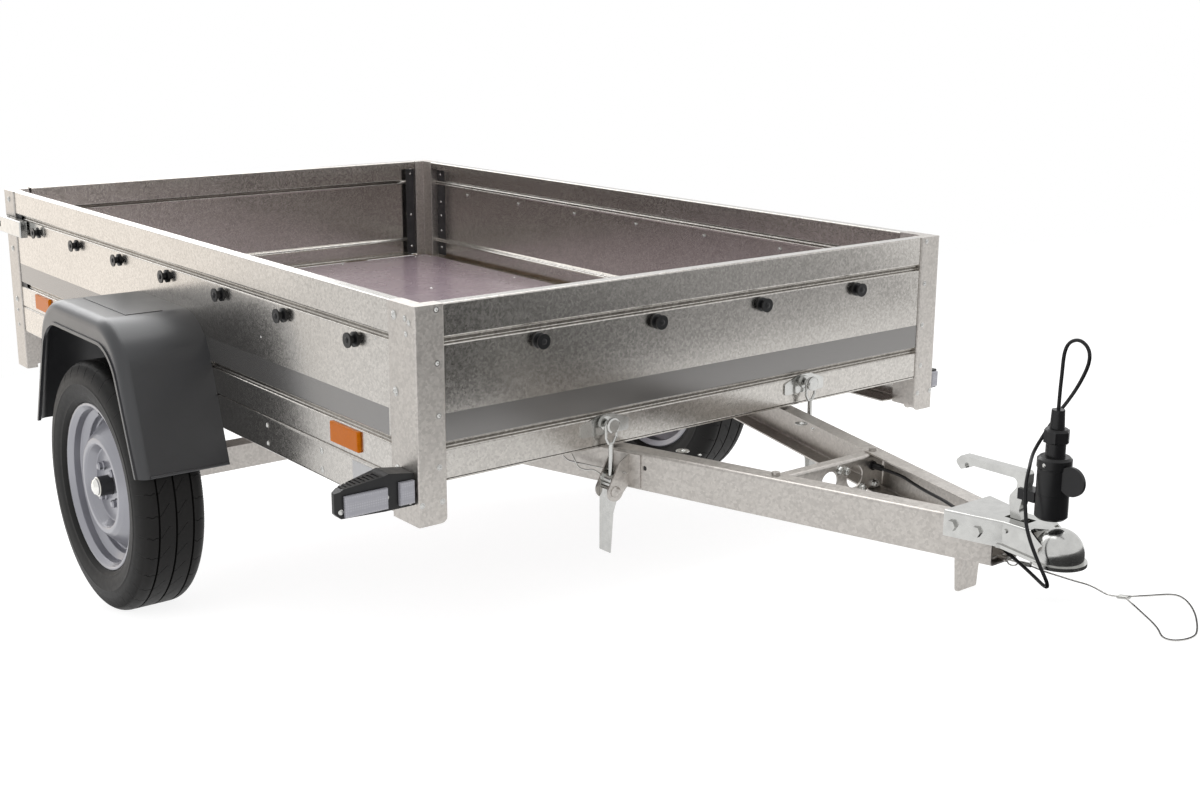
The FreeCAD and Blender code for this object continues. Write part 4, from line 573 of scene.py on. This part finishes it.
def tyre_section():
    """Columns across the tyre from bead to bead: distance out, radius, cut depth, lead and rib."""
    side = [(0.0490, 0.1781), (0.0527, 0.1822), (0.0545, 0.1921), (0.0620, 0.1921), (0.0655, 0.1950),
            (0.0690, 0.1990), (0.0705, 0.2020), (0.0712, 0.2030), (0.0710, 0.2042), (0.0737, 0.2110),
            (0.0760, 0.2200), (0.0774, 0.2290), (0.0780, 0.2345), (0.0783, 0.2352), (0.0783, 0.2368),
            (0.0778, 0.2375), (0.0776, 0.2430), (0.0768, 0.2480)]
    shoulder = [(0.0761, 0.2510), (0.0748, 0.2570), (0.0730, 0.2630), (0.0706, 0.2685), (0.0678, 0.2735),
                (0.0640, 0.2780)]
    edge = [(0.0600, 0.2812), (0.0560, 0.2834), (0.0520, 0.2848), (0.0480, 0.2855), (0.0450, 0.2857),
            (0.0425, 0.2858)]
    columns = [(-out, radius, 0.0, slant, 0.0) for out, radius in side]
    columns += [(-out, radius, 0.0, slant, shoulder_rib if 0 < step < 5 else 0.0)
                for step, (out, radius) in enumerate(shoulder)]
    for step, (out, radius) in enumerate(edge):
        columns.append((-out, radius, cut_depth, slant + cut_sway * math.sin(step * 1.5), 0.0))
    groove_out = 0.0385
    crown = 0.2858
    for middle, before, after in ((-groove_out, slant, slant), (0.0, 0.0, slant), (groove_out, 0.0, 0.0)):
        for out, down, lead in ((-groove_half, 0.0, before), (-0.7 * groove_half, groove_depth, before),
                                (0.7 * groove_half, groove_depth, after), (groove_half, 0.0, after)):
            columns.append((middle + out, crown - down, 0.0, lead, 0.0))
        if middle < groove_out:
            for share, lead_share, depth in ((0.10, 1.0, 0.0), (0.34, 1.0, 0.0), (0.36, 1.0, cut_depth),
                                             (0.40, 0.97, cut_depth), (0.6, 0.62, cut_depth),
                                             (0.8, 0.25, cut_depth), (0.88, 0.06, cut_depth),
                                             (0.97, 0.0, cut_depth)):
                start = middle + groove_half
                reach = groove_out - 2 * groove_half
                columns.append((start + share * reach, tyre_radius - 0.0001, depth, slant * lead_share, 0.0))
    for step, (out, radius) in enumerate(edge[::-1]):
        columns.append((out, radius, cut_depth, cut_sway * math.sin(step * 1.5), 0.0))
    columns += [(out, radius, 0.0, 0.0, shoulder_rib if 0 < step < 5 else 0.0)
                for step, (out, radius) in reversed(list(enumerate(shoulder)))]
    columns += [(out, radius, 0.0, 0.0, 0.0) for out, radius in side[::-1]]
    return columns


def tyre_mesh(name, side):
    """The whole tyre, its rows of points led along the tread so that every cut follows a row."""
    pitch = 2 * math.pi / tread_pitches
    cut = cut_width / tyre_radius
    rows = [(0.0, 0.0), (0.2 * cut, 1.0), (0.8 * cut, 1.0), (cut, 0.0)]
    small = pitch / (2 * ribs_per_pitch)
    rows += [(step * small, 0.0) for step in range(1, 2 * ribs_per_pitch)]
    section = tyre_section()
    points = []
    for turn in range(tread_pitches):
        for row, (along, cutting) in enumerate(rows):
            ridge = 1.0 if row in (0, 1, 2, 3) or row % 2 else 0.0
            for out, radius, depth, lead, rib in section:
                angle = turn * pitch + along + lead / tyre_radius
                reach = radius - cutting * depth - rib * ridge
                points.append((reach * math.cos(angle), side * (wheel_plane + out), reach * math.sin(angle)))
    wide = len(section)
    tall = tread_pitches * len(rows)
    faces = []
    for row in range(tall):
        following = (row + 1) % tall
        for column in range(wide):
            beside = (column + 1) % wide
            faces.append((row * wide + column, row * wide + beside, following * wide + beside,
                          following * wide + column))
    mesh = bpy.data.meshes.new(name)
    mesh.from_pydata(points, [], faces)
    form = bmesh.new()
    form.from_mesh(mesh)
    bmesh.ops.recalc_face_normals(form, faces=form.faces)
    form.to_mesh(mesh)
    form.free()
    mesh.shade_smooth()
    mesh.set_sharp_from_angle(angle=math.radians(38))
    return mesh


for side, name in ((1, "left"), (-1, "right")):
    tyre = placed("tyre_tread_" + name, tyre_mesh("tyre_tread_" + name, side), tyre_rubber, "wheel_" + name)
    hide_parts("tyre_" + name)

# Bed frame: cross members, a sill and lamp boards of galvanised plate under the floor, screwed
# to the side rails in pairs, with a blank type plate on the right rail.
for name in ("floor_members", "rear_sill", "lamp_boards", "tailgate_hinges"):
    painted(name, dipped_zinc)
rail_face = 0.687
member_screws = []
for x in (0.712, 0.479, -0.100, -0.470):
    member_screws += [((x, rail_face, 0.216), outward), ((x, rail_face, 0.178), outward)]
round_heads("rail_screws", both(member_screws), 0.0048, 0.003, plated, "bed", 0.0066)


def thin_plate(name, corner, far_corner, rounding, finish, body):
    """A flat plate with softened edges, between two opposite corners."""
    form = bmesh.new()
    bmesh.ops.create_cube(form, size=1.0)
    size = Vector(far_corner) - Vector(corner)
    middle = (Vector(far_corner) + Vector(corner)) / 2
    form.transform(Matrix.Translation(middle) @ Matrix.Diagonal((*[abs(reach) for reach in size], 1.0)))
    bmesh.ops.bevel(form, geom=form.edges[:], offset=rounding, segments=2, affect="EDGES", clamp_overlap=True)
    return placed(name, shaped(form, name), finish, body)


label_foil = Finish("type plate foil", (0.70, 0.70, 0.71), 0.35, 0.2)
label_foil.feed({
    "Base Color": label_foil.tint(label_foil.noise(160.0), (0.62, 0.62, 0.63), (0.74, 0.74, 0.75)),
    "Roughness": 0.3 + 0.12 * label_foil.noise(400.0),
})
thin_plate("type_plate", (0.832, -rail_face - 0.0006, 0.182), (0.917, -rail_face, 0.227), 0.0002, label_foil,
           "bed")

# Floor: one sheet of plywood faced with a dark brown phenolic film, screwed down through
# its face to the cross members. Its colour is painted lighter and pinker than the film: a painted sheen.
ply_film_and_sheen = Finish("phenolic film, painted sheen", (0.27, 0.20, 0.225), 0.3, IOR=1.6)
ply_ahead, ply_left, ply_height = ply_film_and_sheen.level()
floor_half, floor_front, floor_rear = 0.654, 1.034, -1.050
edge_band = 0.0004
on_edge = abs(ply_left).between(floor_half - edge_band, floor_half - edge_band / 2)
on_edge = on_edge + ply_ahead.between(floor_front - edge_band, floor_front - edge_band / 2)
on_edge = on_edge + 1.0 - ply_ahead.between(floor_rear + edge_band / 2, floor_rear + edge_band)
veneer = ply_height.wave(0.0028)
# Painted sheen: the film's brown hue is its own, but its lightness over dark brown stands in for reflected
# light.
film = ply_film_and_sheen.tint(0.6 * ply_film_and_sheen.noise(6.0) + 0.4 * ply_film_and_sheen.noise(60.0), (0.330, 0.250, 0.285),
                     (0.460, 0.365, 0.410))
raw_ply = ply_film_and_sheen.tint(veneer, (0.42, 0.27, 0.15), (0.62, 0.45, 0.28))
ply_film_and_sheen.feed({
    "Base Color": ply_film_and_sheen.tint(on_edge, film, raw_ply),
    "Roughness": 0.20 + 0.14 * ply_film_and_sheen.noise(9.0),
    "Coat Weight": 0.8,
    "Coat Roughness": 0.16,
})
ply_film_and_sheen.bumped(0.7 * ply_film_and_sheen.noise(520.0, 2.0) + 0.3 * ply_film_and_sheen.noise(30.0), 0.00010)
painted("floor_board", ply_film_and_sheen)
floor_top = 0.2475
floor_screws = []
for x in (1.010, 0.780, 0.440, -0.130, -0.500, -1.030):
    for y in (0.630, 0.330):
        floor_screws.append(((x, y, floor_top), up))
floor_screws += [((-1.020, 0.598, floor_top), up), ((-0.996, 0.640, floor_top), up)]
round_heads("floor_screws", both(floor_screws), 0.0046, 0.0018, plated, "bed", 0.0058)

# Walls: cold-rolled sheet with a bright spangled zinc coat, folded over at the top and
# grooved along its length to stiffen it. A plain grey stripe of film runs above the lower groove.
# The tailgate, the strip before the floor and the side rails are folded from the same sheet.
stripe_low, stripe_high, stripe_end = 0.3047, 0.3560, 0.971
stripe_grey = (0.235, 0.228, 0.222)
side_face_from, front_face_from = 0.6862, 1.0662
groove_centres = (0.2974, 0.4875)
groove_half_height = 0.004


def wall_finish(name, stripe_on):
    """Spangled sheet with rounded grooves, and the grey film on its outer face only."""
    finish = Finish(name, (0.5, 0.49, 0.47), 0.3, 1.0)
    ahead_x, left_y, up_z = finish.level()
    rolled = sum(2 * groove_half_height * (1.0 - up_z.between(centre - groove_half_height,
                                                              centre + groove_half_height))
                 for centre in groove_centres)
    zinc = spangle(finish, 0.0044, (0.34, 0.325, 0.305), (0.66, 0.635, 0.60), 0.16, 0.27, 0.000022, rolled)
    tall = up_z.between(stripe_low, stripe_low + edge_band)
    tall = tall - up_z.between(stripe_high, stripe_high + edge_band)
    if stripe_on == "sides":
        on_face = abs(left_y).between(side_face_from, side_face_from + edge_band)
        on_face = on_face * (1.0 - ahead_x.between(stripe_end, stripe_end + 0.0005))
    else:
        on_face = ahead_x.between(front_face_from, front_face_from + edge_band)
    film = tall * on_face
    finish.feed({
        "Base Color": finish.tint(film, zinc, stripe_grey),
        "Metallic": 1.0 - 0.35 * film,
        "Coat Weight": 0.25 * film,
        "Coat Roughness": 0.2,
    })
    return finish


side_zinc = wall_finish("spangled zinc, sides", "sides")
front_zinc = wall_finish("spangled zinc, front", "front")
painted("side_walls", side_zinc)
painted("front_wall", front_zinc)
for name in ("tailgate", "floor_front_strip", "side_rails"):
    painted(name, side_zinc)
wall_face, front_face = 0.687, 1.067
round_heads("wall_rivets", both([((0.930, wall_face, 0.475), outward), ((0.470, wall_face, 0.400), outward)]),
            0.0024, 0.0014, plated, "bed")

# Corner posts: folded plate that closes the gap between two walls, with bolts and rivets
# through both legs and a thin flange of the same plate inside the bed, near-black as painted shade.
for name in ("front_posts", "rear_posts", "post_caps"):
    painted(name, dipped_zinc)
post_front, post_side, post_rear = 1.070, 0.690, -1.090
post_bolts = [((1.002, post_side, z), outward) for z in (0.531, 0.393, 0.250)]
post_bolts += [((0.976, post_side, 0.197), outward), ((1.043, post_side, 0.203), outward)]
post_bolts += [((-1.053, post_side, z), outward) for z in (0.530, 0.393, 0.250)]
round_heads("post_bolts", both(post_bolts), 0.0068, 0.0045, plated, "bed", 0.0088)
post_rivets = [((x, post_side, z), outward) for x, z in (
    (1.038, 0.530), (1.051, 0.524), (1.041, 0.503), (1.038, 0.246), (-1.053, 0.2185), (-1.053, 0.1765))]
post_rivets += [((post_front, y, z), forward) for y, z in (
    (0.646, 0.545), (0.646, 0.450), (0.645, 0.355), (0.646, 0.261), (0.641, 0.197), (0.683, 0.197))]
post_rivets += [((post_rear, 0.646, z), backward) for z in (0.545, 0.450, 0.355, 0.261)]
round_heads("post_rivets", both(post_rivets), 0.0044, 0.0030, plated, "bed", 0.0056)
# Painted shade: the inner flanges are zinc plate coloured near-black for shade and dark reflection; the gate
# stops take the same near-black.
flange_painted_shade = Finish("inner flange", (0.06, 0.06, 0.062), 0.45, 0.6)
flange_painted_shade.feed({
    "Base Color": flange_painted_shade.tint(flange_painted_shade.noise(40.0), (0.040, 0.040, 0.042), (0.085, 0.085, 0.088)),
    "Roughness": 0.36 + 0.2 * flange_painted_shade.noise(120.0),
})
inner_skin, inner_front_skin = 0.685, 1.065
flange_thickness, flange_low, flange_high = 0.0014, 0.2495, 0.530
stop_rear, stop_front = -1.074, -1.072
for side, label in ((1, "left"), (-1, "right")):
    thin_plate("inner_flange_" + label, (-1.013, side * inner_skin, flange_low),
               (-0.972, side * (inner_skin - flange_thickness), flange_high), 0.0004, flange_painted_shade, "bed")
    thin_plate("gate_stop_" + label, (stop_rear, side * 0.600, flange_low),
               (stop_front, side * 0.630, flange_high), 0.0004, flange_painted_shade, "bed")
flange_heights = (0.515, 0.425, 0.380, 0.330, 0.275)
flange_nuts = [((-0.992, inner_skin - flange_thickness, z), inward) for z in flange_heights]
flange_nuts += [((stop_front, 0.616, z), forward) for z in flange_heights[::2]]
round_heads("flange_nuts", both(flange_nuts), 0.0042, 0.0036, plated, "bed")

# Mudguards: black plastic pressed from one sheet, with a fine satin grain.
guard_plastic = Finish("mudguard plastic", (0.042, 0.043, 0.047), 0.36, Coat_Weight=0.35, Coat_Roughness=0.3)
guard_plastic.feed({
    "Base Color": guard_plastic.tint(guard_plastic.noise(7.0), (0.030, 0.031, 0.034), (0.048, 0.049, 0.053)),
    "Roughness": 0.30 + 0.12 * guard_plastic.noise(18.0),
})
guard_plastic.bumped(guard_plastic.noise(1500.0, 2.0), 0.00003)
for name in ("mudguard_left", "mudguard_right"):
    painted(name, guard_plastic)

# Rope hooks, lamps and their housings: black glass-filled nylon, each hook held by a screw
# whose nut shows inside the wall.
moulded_black = Finish("moulded black plastic", (0.010, 0.010, 0.011), 0.34, Specular_IOR_Level=0.35)
moulded_black.feed({
    "Base Color": moulded_black.tint(moulded_black.noise(25.0), (0.007, 0.007, 0.008), (0.014, 0.014, 0.015)),
    "Roughness": 0.24 + 0.16 * moulded_black.noise(80.0),
})
moulded_black.bumped(moulded_black.noise(900.0, 2.0), 0.00005)
for name in ("rope_hooks", "marker_lamps", "tail_lamps", "plug_holder", "plug"):
    painted(name, moulded_black)
hook_height = 0.4615
hook_first, hook_last = 0.855, -0.837
hook_reach = 0.0172
front_hook_gap = 0.2833
side_hook_x = [hook_first + (hook_last - hook_first) * step / 6 for step in range(7)]
front_hook_y = [front_hook_gap * (step - 1.5) for step in range(4)]
hook_screws = [((x, wall_face + hook_reach, hook_height), outward) for x in side_hook_x]
black_screws = both(hook_screws)
black_screws += [((front_face + hook_reach, y, hook_height), forward) for y in front_hook_y]
round_heads("hook_screws", black_screws, 0.0058, 0.0022, moulded_black, "bed")
hook_nuts = both([((x, inner_skin, hook_height), inward) for x in side_hook_x])
hook_nuts += [((inner_front_skin, y, hook_height), backward) for y in front_hook_y]
bolt_heads("hook_nuts", hook_nuts, 0.0050, 0.0042, 0.0066, plated, "bed")

# Reflectors and lamp lenses: moulded acrylic with fine prisms behind its smooth face.


def acrylic(name, low, high, prism, depth, **extra):
    """Coloured acrylic over a grid of prisms of the given width, darker at each prism's edges as painted
    shade.
    """
    finish = Finish(name, low, 0.16, 0.0, **extra)
    cell = finish.node("ShaderNodeTexVoronoi", {"feature": "DISTANCE_TO_EDGE"},
                       {"Vector": finish.here, "Scale": 1.0 / prism, "Randomness": 0.15})
    # Painted shade: the colour darkens towards the edges of the prisms.
    finish.feed({"Base Color": finish.tint(cell.between(0.02, 0.35), low, high)})
    finish.bumped(cell, depth)
    return finish


amber = acrylic("amber acrylic", (0.84, 0.21, 0.003), (1.0, 0.28, 0.004), 0.004, 0.0003,
                Specular_IOR_Level=0.12)
red = acrylic("red acrylic", (0.36, 0.006, 0.006), (0.56, 0.012, 0.010), 0.004, 0.0004)
clear = acrylic("clear acrylic", (0.50, 0.50, 0.55), (0.62, 0.62, 0.67), 0.0045, 0.0003)
painted("side_reflectors", amber)
painted("turn_lenses", amber)
painted("tail_lenses", red)
painted("marker_lenses", clear)
lamp_front = 1.058
round_heads("lamp_screws", [((lamp_front, -0.748, 0.222), forward), ((lamp_front, -0.838, 0.214), forward),
                            ((lamp_front, -0.700, 0.205), forward)], 0.0036, 0.0024, plated, "bed", 0.0048)

# Plug: a black nylon housing with a hexagonal gland, closed by a screw on each side.
plug_x, plug_low = 1.8845, 0.2525
gland_outline = [(0.0165, 0.1275), (0.0208, 0.1275), (0.0222, 0.129), (0.0222, 0.146), (0.0205, 0.148),
                 (0.0165, 0.148), (0.0165, 0.1275)]
placed("plug_gland", turned("plug_gland", gland_outline, Matrix.Translation((plug_x, 0.0, plug_low)), 6),
       moulded_black, "drawbar")
plug_radius, screw_up = 0.0281, 0.093
plug_screws = [((plug_x, side * plug_radius, plug_low + screw_up), (0.0, side, 0.0)) for side in (1, -1)]
round_heads("plug_screws", plug_screws, 0.0032, 0.0018, plated, "drawbar")

# Studio: a white floor that keeps the trailer's shadow, soft lamps overhead and a pale sky.
# Rays from the camera, and those that metal and lenses send on, see both as plain white.


def seen_plainly(tree):
    """1 for the camera's rays and those that metal or glass sends on, 0 for lighting rays."""
    rays = tree.nodes.new("ShaderNodeLightPath")
    total = rays.outputs["Is Camera Ray"]
    for kind in ("Is Glossy Ray", "Is Transmission Ray"):
        larger = tree.nodes.new("ShaderNodeMath")
        larger.operation = "MAXIMUM"
        tree.links.new(total, larger.inputs[0])
        tree.links.new(rays.outputs[kind], larger.inputs[1])
        total = larger.outputs[0]
    return total


floor_grey, floor_glow, glow_share = 0.8, 1.6, 0.55
sky_for_light, sky_when_seen = 0.55, 1.0
floor_white = bpy.data.materials.new("studio floor")
floor_white.use_nodes = True
floor_tree = floor_white.node_tree
floor_tree.nodes.clear()
matt = floor_tree.nodes.new("ShaderNodeBsdfDiffuse")
matt.inputs["Color"].default_value = (floor_grey, floor_grey, floor_grey, 1.0)
glow = floor_tree.nodes.new("ShaderNodeEmission")
glow.inputs["Strength"].default_value = floor_glow
share = floor_tree.nodes.new("ShaderNodeMath")
share.operation = "MULTIPLY"
share.inputs[1].default_value = glow_share
floor_tree.links.new(seen_plainly(floor_tree), share.inputs[0])
floor_mix = floor_tree.nodes.new("ShaderNodeMixShader")
floor_tree.links.new(share.outputs[0], floor_mix.inputs[0])
floor_tree.links.new(matt.outputs[0], floor_mix.inputs[1])
floor_tree.links.new(glow.outputs[0], floor_mix.inputs[2])
floor_out = floor_tree.nodes.new("ShaderNodeOutputMaterial")
floor_tree.links.new(floor_mix.outputs[0], floor_out.inputs["Surface"])
floor_form = bmesh.new()
bmesh.ops.create_circle(floor_form, cap_ends=True, segments=96, radius=30.0)
floor_mesh = bpy.data.meshes.new("studio_floor")
floor_form.to_mesh(floor_mesh)
floor_form.free()
studio_floor = bpy.data.objects.new("studio_floor", floor_mesh)
bpy.context.collection.objects.link(studio_floor)
floor_mesh.materials.append(floor_white)

world = bpy.data.worlds.new("studio sky")
world.use_nodes = True
bpy.context.scene.world = world
sky = world.node_tree
backdrop = sky.nodes["Background"]
backdrop.inputs["Color"].default_value = (1.0, 1.0, 1.0, 1.0)
strength = sky.nodes.new("ShaderNodeMix")
strength.inputs[2].default_value = sky_for_light
strength.inputs[3].default_value = sky_when_seen
sky.links.new(seen_plainly(sky), strength.inputs[0])
sky.links.new(strength.outputs[0], backdrop.inputs["Strength"])


def softbox(name, spot, aim, size, power, colour=(1.0, 1.0, 1.0)):
    """A large rectangular lamp at one spot, turned to face another."""
    lamp_data = bpy.data.lights.new(name, "AREA")
    lamp_data.shape = "RECTANGLE"
    lamp_data.size, lamp_data.size_y = size
    lamp_data.energy = power
    lamp_data.color = colour
    lamp = bpy.data.objects.new(name, lamp_data)
    bpy.context.collection.objects.link(lamp)
    lamp.location = spot
    lamp.rotation_euler = (Vector(aim) - Vector(spot)).to_track_quat("-Z", "Y").to_euler()


softbox("overhead softbox", (-1.0, 1.0, 4.2), (-1.0, 0.99, 0.3), (5.0, 4.0), 125.0)
softbox("rear softbox", (-5.6, 0.4, 4.4), (0.0, 0.0, 0.4), (5.0, 3.5), 120.0)
softbox("warm softbox", (-8.0, -2.9, 1.3), (0.0, -0.7, 0.5), (3.2, 3.0), 17.0, (1.0, 0.84, 0.66))

# Dark card: a matt panel just off the floor ahead of the drawbar, which only reflections see.
# It gives the bright front wall and the coupling the dark bands that bare zinc shows.
card_form = bmesh.new()
card_corners = [(1.92, -0.45), (3.20, -0.90), (3.60, 2.40), (2.14, 1.90)]
card_form.faces.new([card_form.verts.new((x, y, 0.0)) for x, y in card_corners])
card_mesh = bpy.data.meshes.new("dark_card")
card_form.to_mesh(card_mesh)
card_form.free()
card_shift = Vector((wheel_middle.x - 0.15, 0.0, 0.004))
card_mesh.transform(Matrix.Translation(card_shift))
dark_card = bpy.data.objects.new("dark_card", card_mesh)
bpy.context.collection.objects.link(dark_card)
card_black = Finish("card black", (0.03, 0.03, 0.03), 0.9)
card_left = card_black.node("ShaderNodeSeparateXYZ", {}, {0: card_black.here}, 1)
card_black.feed({"Base Color": card_black.tint(card_left.between(0.0, 1.5), (0.03, 0.03, 0.03),
                                               (0.42, 0.42, 0.42))})
card_mesh.materials.append(card_black.material)
for kind in ("visible_camera", "visible_diffuse", "visible_transmission", "visible_shadow"):
    setattr(dark_card, kind, False)

bpy.context.scene.view_settings.view_transform = "Standard"
bpy.context.view_layer.update()
